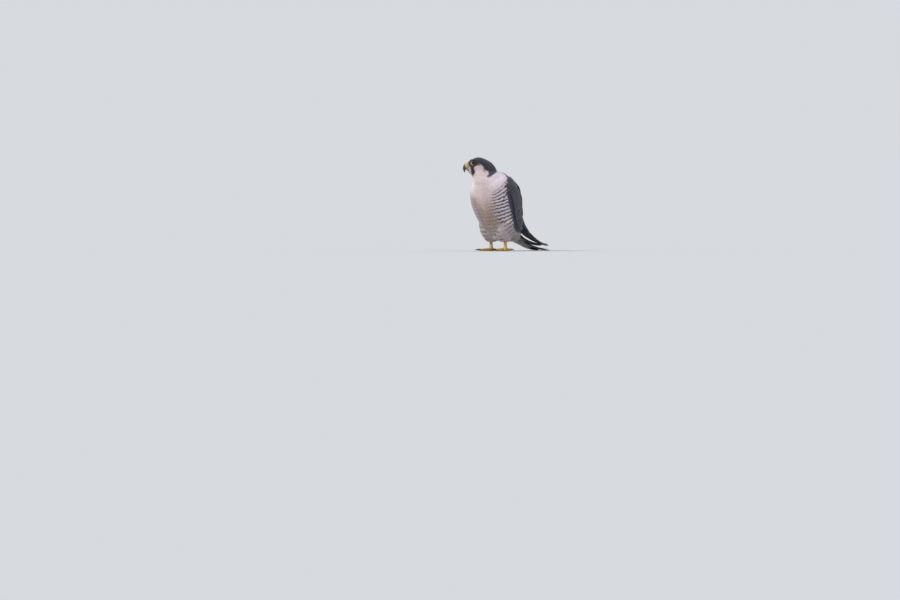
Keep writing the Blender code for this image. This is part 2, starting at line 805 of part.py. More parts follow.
def make_tail(torso_cutter):
    """The tail's root with twelve flight feathers in a closed fan, and the coverts over and under."""
    tilt = math.radians(TORSO_RINGS[0][2])
    away = np.array([0, math.sin(tilt), -math.cos(tilt)])
    rings = [torso_ring(TORSO_RINGS[0], 0.0, 20) + away * GAP]
    side = np.array([1.0, 0, 0])
    for share, half_width, half_height in TAIL_ROOT:
        point, up = tail_frame(share)
        rings.append(oval(point, side, -up, half_width * MM, half_height * MM, half_height * MM, 20))
    tail = loft("tail", rings)
    vanes = []
    for pair in range(TAIL_PAIRS):
        for sign in (1, -1):
            layer = 0 if pair == 0 and sign < 0 else pair + 1
            height = (TAIL_HEIGHT[0] - TAIL_HEIGHT[1] * layer) * MM
            root = (TAIL_OUT_ROOT[0] + TAIL_OUT_ROOT[1] * pair) * MM
            out = (TAIL_OUT_TIP[0] + TAIL_OUT_TIP[1] * pair) * MM
            outer = TAIL_HALF_WIDTH * MM
            inner = outer if pair == 0 else min(outer, out - GAP)
            end = 1.0 - TAIL_SHORTER * pair ** 1.6
            vanes.append(tail_vane(
                sign, root, out, TAIL_START, end, height, height, inner, outer, ROUND_TIP, 0.0,
            ))
    wide = COVERT_HALF_WIDTH * MM
    for sign, offset in COVERT_OFFSETS:
        for end, kept, root_height, tip_height, tilt in COVERT_ROWS:
            drop = math.copysign(COVERT_DROP * offset, root_height)
            vanes.append(tail_vane(
                sign or 1, offset * MM, offset * kept * MM, COVERT_START, end - COVERT_SHORTER * offset,
                (root_height - drop) * MM, (tip_height - drop) * MM, wide, wide, ROUND_TIP, tilt,
            ))
    fused(tail, vanes)
    carved(tail, torso_cutter)
    return finished(tail, "flight", 30)


# Legs

def level_oval(row, side, grow=0.0, count=20):
    out, back, rise, half_width, half_depth = row
    centre = np.array([side * out, back, rise]) * MM
    across, ahead = np.array([1.0, 0, 0]), np.array([0, -1.0, 0])
    depth = half_depth * MM + grow
    return oval(centre, across, ahead, half_width * MM + grow, depth, depth, count)


def thigh_rings(side, grow=0.0):
    return [level_oval(row, side, grow) for row in resampled(THIGH_RINGS, 11)]


def make_thigh(side, name, torso_cutter):
    return finished(carved(loft(name, thigh_rings(side)), torso_cutter), "pale")


def tarsus_rings(side, grow=0.0):
    out, back = FOOT_SIDE / MM, FOOT_BACK / MM
    rows = [(out, back, rise, radius, radius) for rise, radius in TARSUS_RINGS]
    return [level_oval(row, side, grow, 16) for row in rows]


def make_tarsus(side, name):
    """The bare lower leg, with the flat ball of the foot that it stands on."""
    return finished(loft(name, tarsus_rings(side)), "skin")


def toe_frame(side, heading):
    """Where a toe starts, and its directions ahead, across and up."""
    heading = math.radians(heading)
    ahead = np.array([side * math.sin(heading), -math.cos(heading), 0])
    up = np.array([0, 0, 1.0])
    return np.array([side * FOOT_SIDE, FOOT_BACK, 0]), ahead, np.cross(ahead, up), up


def toe_rings(side, toe, grow=0.0):
    """Rings along a toe with its pads, flat where they rest on the floor."""
    name, heading, length, radius, _ = toe
    start, ahead, across, up = toe_frame(side, heading)
    joints = 2 if name == "hind" else 3
    steps = 3 * joints
    rings = []
    for i in range(steps + 1):
        share = i / steps
        pad = 0.5 - 0.5 * math.cos(2 * math.pi * share * joints)
        r = radius * (1 - TOE_TAPER * share) * MM
        reach = (TOE_START + (length - TOE_START) * share) * MM
        width = r * (TOE_WIDTH[0] + TOE_WIDTH[1] * pad) + grow
        low = r * (TOE_DEPTH[0] + TOE_DEPTH[1] * pad) + grow
        ring = oval(start + ahead * reach + up * r * 1.02, across, up, width, width, low, 8)
        ring[:, 2] = np.maximum(ring[:, 2], -grow)
        rings.append(ring)
    return rings


def make_claw(side, name, toe):
    """A curved claw off the end of a toe."""
    _, heading, length, radius, claw = toe
    start, ahead, across, up = toe_frame(side, heading)
    end_radius = radius * (1 - TOE_TAPER) * MM
    first, last = CLAW_BEND
    turn = claw * MM / (math.sin(last) - math.sin(first))
    thick, power, point = CLAW_TAPER
    rings = []
    for i in range(6):
        share = i / 5
        bend = first + (last - first) * share
        reach = length * MM + GAP + turn * (math.sin(bend) - math.sin(first))
        rise = end_radius * 1.05 + turn * (math.cos(bend) - math.cos(first))
        r = end_radius * (thick * (1 - share) ** power + point)
        normal = up * math.cos(bend * share) + ahead * math.sin(bend * share)
        ring = oval(start + ahead * reach + up * rise, across, normal, r * 0.8, r, r, 6)
        ring[:, 2] = np.maximum(ring[:, 2], FLOOR_GAP)
        rings.append(ring)
    return finished(loft(name, rings), "claw")


def make_foot(side, name):
    """The toes of a foot, each cut clear of the leg and of the toes before it, and their claws."""
    cutters = [grown_cutter(tarsus_rings(side, SWELL))]
    for toe in TOES:
        made = loft(f"toe_{name}_{toe[0]}", toe_rings(side, toe))
        for cutter in cutters:
            carved(made, cutter)
        finished(made, "skin")
        cutters.append(grown_cutter(toe_rings(side, toe, SWELL)))
        make_claw(side, f"claw_{name}_{toe[0]}", toe)


def set_on_origin():
    """Puts the origin on the floor under the middle of the bird's box."""
    points = np.array([v.co[:] for made in BIRD.objects for v in made.data.vertices])
    low, high = points.min(axis=0), points.max(axis=0)
    shift = Matrix.Translation((-(low[0] + high[0]) / 2, -(low[1] + high[1]) / 2, 0))
    for made in BIRD.objects:
        made.data.transform(shift)


def make_bird():
    head_cutter = grown_cutter(head_rings(SWELL))
    torso_cutter = grown_cutter(torso_rings(SWELL))
    neck_cutter = grown_cutter(neck_rings(SWELL))
    make_torso(head_cutter)
    make_neck([torso_cutter, head_cutter])
    head = make_head()
    cere, upper, lower = make_bill()
    for piece in (cere, upper, lower):
        carved(head, swollen(piece))
    finished(head, "slate")
    finished(cere, "skin")
    finished(upper, "horn")
    finished(lower, "horn")
    make_eyes()
    make_tail(torso_cutter)
    for side, name in ((1, "left"), (-1, "right")):
        make_thigh(side, f"thigh_{name}", torso_cutter)
        thigh_cutter = grown_cutter(thigh_rings(side, SWELL))
        make_wing(side, f"wing_{name}", (torso_cutter, neck_cutter, thigh_cutter))
        make_tarsus(side, f"tarsus_{name}")
        make_foot(side, name)
    set_on_origin()


make_bird()
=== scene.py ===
"""Dresses the solid frame of a peregrine falcon with its plumage, bill, eyes and feet.

Measures are millimetres in the bird's own frame, with the origin on the floor between the feet,
+Z up, the breast towards -Y and the left side at +X. placed() turns them into the model's metres.
"""

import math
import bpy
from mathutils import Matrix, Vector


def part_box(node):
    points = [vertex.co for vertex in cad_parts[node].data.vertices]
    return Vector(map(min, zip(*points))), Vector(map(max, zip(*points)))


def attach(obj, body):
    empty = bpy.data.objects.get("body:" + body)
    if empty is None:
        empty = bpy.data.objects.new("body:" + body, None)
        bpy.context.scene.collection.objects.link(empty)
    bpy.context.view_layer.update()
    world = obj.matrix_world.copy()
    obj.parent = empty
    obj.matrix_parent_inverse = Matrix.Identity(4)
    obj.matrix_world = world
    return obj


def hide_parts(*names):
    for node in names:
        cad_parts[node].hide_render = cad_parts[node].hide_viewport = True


bl_info = {
    "name": "Peregrine Falcon",
    "version": (1, 0, 0),
    "blender": (4, 5, 0),
    "location": "3D Viewport > Sidebar > Falcon",
    "description": "Skin, feathers, bill, eyes and feet for the falcon's solid frame",
    "category": "Object",
}

import bmesh
import bpy
import numpy as np
from mathutils import Vector
from mathutils.bvhtree import BVHTree
from mathutils.kdtree import KDTree

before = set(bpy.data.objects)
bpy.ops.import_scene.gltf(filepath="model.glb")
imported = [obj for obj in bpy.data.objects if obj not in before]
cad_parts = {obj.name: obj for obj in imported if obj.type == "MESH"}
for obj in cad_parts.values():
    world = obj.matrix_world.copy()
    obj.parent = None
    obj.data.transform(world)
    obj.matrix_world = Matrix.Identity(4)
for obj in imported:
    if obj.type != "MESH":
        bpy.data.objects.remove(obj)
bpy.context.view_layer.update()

MM = 0.001
SIDES = ((1, "left"), (-1, "right"))
X_AXIS, Y_AXIS, Z_AXIS = np.eye(3)

# The head's own axes and the places on it, as in the solid model
HEAD_TURN = math.radians(40)
HEAD_NOD = math.radians(5)
HEAD_CENTRE = np.array([-19.0, -47.0, 236.0])
EYE_RADIUS = 6.6
EYE_FORWARD = 21.0
EYE_SIDE = 16.6
EYE_RISE = 4.5
EYE_AIM = math.radians(28)

# How far the eyeballs are set back from there, and which way the bare rings are widest: how far
# ahead and how far down
EYE_SUNK = 1.1
RING_AHEAD, RING_DOWN = 0.9, 0.44

# The way up the neck
NECK_AXIS = (-0.25, -0.35, 1.0)

# Stations down the body: side, back, rise, tilt in degrees, half width, depth ahead and behind
BODY_STATIONS = (
    (-16, -44, 236, 18, 23, 33, 16),
    (-14, -42, 226, 18, 23, 33, 16),
    (-9, -35, 212, 20, 32, 45, 20),
    (0, -25, 200, 27, 45, 65, 31),
    (0, -19, 186, 24, 54, 69, 40),
    (0, -11, 165, 20, 62, 72, 51),
    (0, -2, 138, 18, 64, 72, 57),
    (0, 9, 109, 24, 61, 65, 53),
    (0, 25, 81, 37, 54, 56, 43),
    (0, 44, 58, 49, 44, 41, 31),
    (0, 62, 44, 60, 32, 22, 21),
    (0, 76, 36, 68, 20, 13, 12),
    (0, 92, 29, 72, 17, 9, 10),
    (0, 120, 18, 76, 15, 8, 8),
)

# Bill rings along its curved axis: forward, rise, tilt in degrees, half width, height above and
# depth below
BILL_RINGS = (
    (34.0, -2.2, 0, 8.4, 8.8, 6.8),
    (40.2, -3.3, 18, 7.0, 7.5, 5.9),
    (42.7, -5.4, 37, 5.9, 6.2, 4.9),
    (44.6, -8.4, 58, 4.7, 4.8, 3.9),
    (45.6, -12.6, 80, 3.2, 3.3, 2.6),
    (45.0, -17.2, 100, 1.7, 1.8, 1.4),
    (44.0, -20.6, 108, 0.5, 0.6, 0.5),
)
LOWER_BILL_RINGS = (
    (33.8, -12.8, 0, 6.8, 4.8, 4.2),
    (37.2, -12.6, 4, 5.7, 4.4, 3.3),
    (40.2, -12.0, 10, 4.2, 3.6, 2.4),
    (41.6, -11.5, 16, 2.6, 2.2, 1.5),
)

# The folded wing is spanned by three lines from shoulder to tip, as side, back, rise
WING_FRONT = (
    (54, -34, 190), (66, -32, 159), (68, -23, 127), (64, -6, 96), (55, 14, 69),
    (46, 50, 49), (37, 98, 35), (28, 150, 24), (19, 206, 17),
)
WING_MIDDLE = (
    (48, 4, 205), (56, 16, 178), (58, 30, 146), (53, 41, 113), (44, 57, 82),
    (37, 80, 60), (29, 122, 41), (23, 165, 27), (18, 207, 19),
)
WING_BACK = (
    (21, 27, 199), (15, 49, 174), (10, 63, 141), (8, 72, 111), (7, 85, 86),
    (8, 104, 65), (10, 133, 46), (13, 168, 29.5), (16, 208, 20),
)

# Depth of the flesh of the folded wing, and the share of the wing's length where it ends
WING_THICKNESS = 11.0
WING_CORE_END = 0.60

# How much that flesh is rounded off at both edges, how deep it dips at the shoulder and how far
# that reaches along it, and how far it stays under the feathers
WING_ROUNDING = 3.2
SHOULDER_DIP, DIP_END = 6.0, 0.14
WING_COVER = 0.6

# The tail's axis as back, rise, and the rings of its root: share, half width, half height
TAIL_LINE = ((72, 39.5), (92, 29), (120, 17.5), (150, 8.8), (182, 3.3), (214, 1.9))
TAIL_ROOT = ((0.13, 17, 9.5), (0.26, 15, 7.6), (0.38, 12, 5.2), (0.48, 8, 3))

# The ring of the rump before them: centre, the way under it, half width, depth below and above
RUMP_RING = ((0, 74.0, 37.5), (0, -0.37, -0.93), 19, 12, 11)

# The fluff between the thighs: the rise of its axis, and rings as back, half width, half height
VENT_RISE = 36.0
VENT_RINGS = (
    (-11, 4, 2), (-8, 9, 6), (-2, 14, 9), (8, 16, 10.5), (18, 15, 10), (27, 9, 6), (30, 4, 2),
)

# Where the feet stand, and the bare legs as rise and radius
FOOT_SIDE = 25.0
FOOT_BACK = 5.0
TARSUS_RINGS = ((0, 5.6), (1.6, 7.4), (4.6, 7.8), (8.0, 6.4), (11.5, 4.9), (16.0, 4.2), (27.0, 4.6))

# The thighs' axis as side, back, rise, and their mean half width there
THIGH_AXIS = (
    (23.5, 5, 24.5), (23.5, 3.5, 31.5), (25, 1.5, 38), (27, -1, 48), (30, -2, 64), (33, -1, 82), (35, 2, 96),
)
THIGH_GIRTH = (13, 18, 21.2, 24, 25.5, 24.5, 20.5)

# Toes: name, heading in degrees from straight ahead with outwards positive, length, base
# radius, claw length
TOES = (
    ("middle", 4, 42, 4.1, 13),
    ("inner", -32, 29, 4.3, 14),
    ("outer", 42, 33, 3.9, 12),
    ("hind", 172, 19, 4.3, 15),
)

# Where the middle of the breast's pattern lies, in degrees round from the back by the bird's left
BREAST_MIDDLE = 168

# How much of the red, green and blue the shaded right side of the underparts loses
OTHER_SIDE = (0.44, 0.51, 0.52)

# How far round from the back the slate of the mantle and of the nape reaches, as station down
# the body and degrees
MANTLE_EDGE = (
    (0, 62), (18, 44), (30, 34), (36, 22), (42, 22), (46, 50), (49, 72), (54, 84), (60, 94),
    (70, 98), (400, 92),
)
NAPE_EDGE = ((28, 42), (35, 22), (45, 22), (52, 42))

# Millimetres from one bar to the next at stations down the body
BAR_PITCH = ((60, 8.0), (120, 8.8), (240, 8.0))

# Outlines of the head's markings on its side, as forward and up in the head's own frame
HOOD = (
    (33, 14), (34.5, 2), (33, -4.5), (27, -6.5), (19, -5), (13, -3.5), (5.5, -1.5), (-3, -8.5),
    (-6, -18), (-13, -21.5), (-14.5, -29), (-7, -34.5), (-11, -41), (-19.3, -37.5),
    (-28.4, -31), (-37.9, -26.5), (-46, -24), (-60, -24), (-60, 30), (20, 30),
)
MOUSTACHE = (
    (30.5, 2), (31, -4), (30, -9), (28.8, -15), (27.6, -22), (25.5, -30.5), (22.3, -33),
    (18.6, -30), (19.6, -22), (21.6, -14), (22.5, -8), (18, -4), (20, 0),
)


# Plain maths

def unit(vectors):
    """Vectors of length one, over the last axis."""
    vectors = np.asarray(vectors, float)
    return vectors / np.maximum(np.linalg.norm(vectors, axis=-1, keepdims=True), 1e-12)


def smooth(low, high, value):
    """0 below low, 1 above high and a smooth rise between."""
    t = np.clip((np.asarray(value, float) - low) / (high - low), 0, 1)
    return t * t * (3 - 2 * t)


def read_off(table, value):
    """Values read off a table of pairs, in straight steps."""
    return np.interp(value, *np.transpose(table))


def bell(value, middle, width):
    """1 at the middle and near 0 at two widths from it."""
    return np.exp(-((value - middle) / width) ** 2)


def blend(base, colour, share):
    """Colours moved towards another by each one's share."""
    return base * (1 - share[:, None]) + np.array(colour) * share[:, None]


def spline(points, shares):
    """Points of the Catmull-Rom curve through the given ones, at shares 0 to 1 along them."""
    points = np.asarray(points, float)
    ends = np.vstack([2 * points[0] - points[1], points, 2 * points[-1] - points[-2]])
    place = np.clip(np.asarray(shares, float), 0, 1) * (len(points) - 1)
    first = np.minimum(place.astype(int), len(points) - 2)
    t = (place - first)[..., None]
    before, a, b, after = (ends[first + k] for k in range(4))
    return 0.5 * (
        2 * a + (b - before) * t + (2 * before - 5 * a + 4 * b - after) * t * t
        + (3 * a - before - 3 * b + after) * t ** 3
    )


def inside(polygon, x, y):
    """How far each point is inside a closed outline, below zero outside it."""
    corners = np.asarray(polygon, float)
    best = np.full(np.shape(x), 1e9)
    crossings = np.zeros(np.shape(x), bool)
    for (ax, ay), (bx, by) in zip(corners, np.roll(corners, -1, axis=0)):
        dx, dy = bx - ax, by - ay
        t = np.clip(((x - ax) * dx + (y - ay) * dy) / (dx * dx + dy * dy), 0, 1)
        best = np.minimum(best, np.hypot(x - ax - t * dx, y - ay - t * dy))
        if ay != by:
            spans = (ay > y) != (by > y)
            crossings ^= spans & (x < (bx - ax) * (y - ay) / (by - ay) + ax)
    return np.where(crossings, best, -best)


def head_axes():
    """The ways ahead, left and up of the turned head."""
    level = np.array([-math.sin(HEAD_TURN), -math.cos(HEAD_TURN), 0])
    forward = level * math.cos(HEAD_NOD) - Z_AXIS * math.sin(HEAD_NOD)
    left = unit(np.cross(Z_AXIS, forward))
    return forward, left, np.cross(forward, left)


FORWARD, LEFT, UP = head_axes()


def at_head(forward, left, up):
    """Points from the head's own measures."""
    forward, left, up = (np.asarray(x, float)[..., None] for x in (forward, left, up))
    return HEAD_CENTRE + FORWARD * forward + LEFT * left + UP * up


def eye_place(side):
    """Centre of an eye and the way it looks."""
    aim = LEFT * side * math.cos(EYE_AIM) + FORWARD * math.sin(EYE_AIM)
    return at_head(EYE_FORWARD, side * EYE_SIDE, EYE_RISE), unit(aim)


EYE_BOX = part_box("eye_left")
SHIFT = np.array((EYE_BOX[0] + EYE_BOX[1]) / 2) / MM - eye_place(1)[0]


def placed(points):
    """The bird's millimetres as the model's metres."""
    return (np.asarray(points, float) + SHIFT) * MM


# Meshes

def new_object(name, points, faces):
    """A smooth mesh object from points in the bird's millimetres and faces of any size."""
    mesh = bpy.data.meshes.new(name)
    mesh.from_pydata(placed(points).tolist(), [], [tuple(f) for f in faces])
    mesh.validate()
    mesh.shade_smooth()
    made = bpy.data.objects.new(name, mesh)
    bpy.context.scene.collection.objects.link(made)
    return made


def attribute(obj, name, kind, values):
    """Stores one value for each vertex, for a material to read."""
    field = {"FLOAT": "value", "FLOAT_VECTOR": "vector", "FLOAT_COLOR": "color"}[kind]
    made = obj.data.attributes.new(name, kind, "POINT")
    made.data.foreach_set(field, np.ascontiguousarray(values, np.float32).ravel())


def oval(centre, side, ahead, half_width, depth_ahead, depth_behind, count, squareness=2.0):
    """A closed ring of points: an oval whose two ends have their own depths."""
    angle = np.linspace(0, 2 * math.pi, count, endpoint=False)
    c, s = np.cos(angle), np.sin(angle)
    across = np.copysign(np.abs(c) ** (2 / squareness), c) * half_width
    along = np.copysign(np.abs(s) ** (2 / squareness), s) * np.where(s > 0, depth_ahead, depth_behind)
    return centre + np.outer(across, side) + np.outer(along, ahead)


def loft_faces(rings, count):
    """Quads between rings of equal point counts, and a cap at each end."""
    faces = []
    for r in range(rings - 1):
        for i in range(count):
            j = (i + 1) % count
            faces.append((r * count + i, r * count + j, (r + 1) * count + j, (r + 1) * count + i))
    last = (rings - 1) * count
    faces.append(tuple(range(count - 1, -1, -1)))
    faces.append(tuple(range(last, last + count)))
    return faces


def faced_out(obj):
    """Turns every face outwards."""
    shaped = bmesh.new()
    shaped.from_mesh(obj.data)
    bmesh.ops.recalc_face_normals(shaped, faces=shaped.faces)
    if shaped.calc_volume(signed=True) < 0:
        bmesh.ops.reverse_faces(shaped, faces=shaped.faces)
    shaped.to_mesh(obj.data)
    shaped.free()
    return obj


def loft(name, rings):
    """A closed smooth solid through rings."""
    made = new_object(name, np.concatenate(rings), loft_faces(len(rings), len(rings[0])))
    return faced_out(made)


def joined(name, objects):
    """One object from several, with their materials kept."""
    with bpy.context.temp_override(
        active_object=objects[0], object=objects[0],
        selected_objects=objects, selected_editable_objects=objects,
    ):
        bpy.ops.object.join()
    objects[0].name = name
    objects[0].data.name = name
    return objects[0]


def vertices_of(mesh):
    """A mesh's vertices in its own units."""
    points = np.empty(len(mesh.vertices) * 3)
    mesh.vertices.foreach_get("co", points)
    return points.reshape(-1, 3)


def normals_of(mesh):
    """A mesh's vertex normals."""
    normals = np.empty(len(mesh.vertices) * 3)
    mesh.vertices.foreach_get("normal", normals)
    return normals.reshape(-1, 3)


def bird_points(obj):
    """An object's vertices in the bird's millimetres."""
    return vertices_of(obj.data) / MM - SHIFT


def move_vertices(mesh, places):
    """Moves a mesh's vertices to places in the model's metres."""
    mesh.vertices.foreach_set("co", places.ravel())
    mesh.update()


# Places on the body

class Body:
    """Where points lie along and round the body, from a table of its stations."""

    def __init__(self, table, count=240):
        rows = spline(np.array(table, float), np.linspace(0, 1, count))
        self.centres = rows[:, :3]
        tilt = np.radians(rows[:, 3])
        zero = np.zeros(count)
        self.down = np.stack([zero, np.sin(tilt), -np.cos(tilt)], 1)
        self.forward = np.stack([zero, -np.cos(tilt), -np.sin(tilt)], 1)
        self.sizes = rows[:, 4:]
        steps = np.linalg.norm(np.diff(self.centres, axis=0), axis=1)
        self.length = np.concatenate([[0], np.cumsum(steps)])

    def place(self, points):
        """Length down the body, share round it from the back to the breast, and the way down it."""
        offset = points[:, None, :] - self.centres[None]
        along = np.einsum("nkj,kj->nk", offset, self.down)
        index = len(self.length) - 1 - np.argmax((along > 0)[:, ::-1], axis=1)
        index[~(along > 0).any(axis=1)] = 0
        rows = np.arange(len(points))
        near = offset[rows, index]
        ahead = np.einsum("nj,nj->n", near, self.forward[index])
        half_width, depth_ahead, depth_behind = self.sizes[index].T
        depth = np.where(ahead > 0, depth_ahead, depth_behind)
        turn = np.degrees(np.arctan2(np.abs(near[:, 0]) / half_width, -ahead / depth))
        station = self.length[index] + along[rows, index]
        return station, turn, np.copysign(turn, near[:, 0]), self.down[index]


BODY = Body(BODY_STATIONS)


def head_place(points):
    """Points in the head's own measures: forward, left, up."""
    offset = points - HEAD_CENTRE
    return offset @ FORWARD, offset @ LEFT, offset @ UP


def wing_point(u, v, side):
    """The folded wing's outer surface: u from shoulder to tip, v from front to back."""
    u, v = np.broadcast_arrays(np.asarray(u, float), np.asarray(v, float))
    front, middle, back = (spline(line, u) for line in (WING_FRONT, WING_MIDDLE, WING_BACK))
    v = v[..., None]
    point = front * (1 - v) * (1 - 2 * v) + middle * 4 * v * (1 - v) + back * v * (2 * v - 1)
    return point * np.array([side, 1, 1])


def wing_frame(u, v, side):
    """The ways to the wing's tip and out of it, at a place on it."""
    step = 0.02
    u = np.clip(np.asarray(u, float), step, 1 - step)
    along = wing_point(u + step, v, side) - wing_point(u - step, v, side)
    across = wing_point(u, v + step, side) - wing_point(u, v - step, side)
    return unit(along), unit(np.cross(along, across)) * side


class WingMap:
    """Finds the wing's own u and v nearest to a point."""

    def __init__(self, rows=73, columns=17):
        self.places = []
        points = []
        for side, _ in SIDES:
            for u in np.linspace(0, 1, rows):
                for v in np.linspace(0, 1, columns):
                    self.places.append((side, u, v))
                    points.append(wing_point(u, v, side))
        self.tree = KDTree(len(points))
        for i, point in enumerate(points):
            self.tree.insert(point, i)
        self.tree.balance()
        self.places = np.array(self.places)

    def near(self, points):
        """Side, u, v and distance for each point."""
        found = [self.tree.find(p) for p in points.tolist()]
        index = np.array([f[1] for f in found], int)
        return (*self.places[index].T, np.array([f[2] for f in found]))


WINGS = WingMap()

# Parts of the coat, and what bounds them: the neck's end down the body, the head's reach down the
# neck, back and down, the thighs' depth and top, and the wings' reach at their front and elsewhere
HEAD, NECK, BREAST, BACK, THIGH, WING = range(6)
NECK_END = 36
HEAD_REACH = (22, -46, -36)
THIGH_REACH, THIGH_TOP = 1.12, 76
WING_REACH = (7.0, 5.5)
FAR = 9.0


def below_head(points):
    """How far down the neck each point lies from the head's middle."""
    return (HEAD_CENTRE - points) @ unit(NECK_AXIS)


def on_wing(points, region):
    """Which points belong to the wings, and their side, u and v there."""
    where = np.flatnonzero(region == WING)
    side, u, v, _ = WINGS.near(points[where])
    return where, side, u, v


def thigh_share(points):
    """How deep each point is in a thigh: 1 at its surface, less inside."""
    axis = np.array(THIGH_AXIS, float)
    rise = points[:, 2]
    side = np.interp(rise, axis[:, 2], axis[:, 0])
    back = np.interp(rise, axis[:, 2], axis[:, 1])
    girth = np.interp(rise, axis[:, 2], THIGH_GIRTH)
    away = np.hypot(np.abs(points[:, 0]) - side, points[:, 1] - back) / girth
    return np.where(rise < 84, away, FAR)


def back_limit(station):
    """How far round from the back the slate of the mantle reaches, in degrees."""
    return read_off(MANTLE_EDGE, station)


def region_of(points):
    """Which part of the coat each point belongs to."""
    station, turn, _, _ = BODY.place(points)
    _, u, v, distance = WINGS.near(points)
    forward, _, up = head_place(points)
    down_neck, back, down = HEAD_REACH
    front_reach, reach = WING_REACH
    region = np.where(turn < back_limit(station), BACK, BREAST)
    region[station < NECK_END] = NECK
    region[(below_head(points) < down_neck) & (forward > back) & (up > down)] = HEAD
    region[(thigh_share(points) < THIGH_REACH) & (points[:, 2] < THIGH_TOP)] = THIGH
    near_wing = (distance < np.where(v < 0.2, front_reach, reach)) & (u > 0.03)
    region[near_wing & (region != HEAD)] = WING
    return region


def coat_depth(points, head_coat, body_coat, wing_coat):
    """How deep the coat lies over the skin at each point."""
    forward, _, up = head_place(points)
    on_head = smooth(-52, -30, forward) * smooth(-48, -26, up)
    depth = body_coat * (1 - on_head) + head_coat * on_head
    _, _, _, distance = WINGS.near(points)
    far = smooth(4, 9, distance)
    return depth * far + np.minimum(depth, wing_coat) * (1 - far)


# Colours and marks of the coat

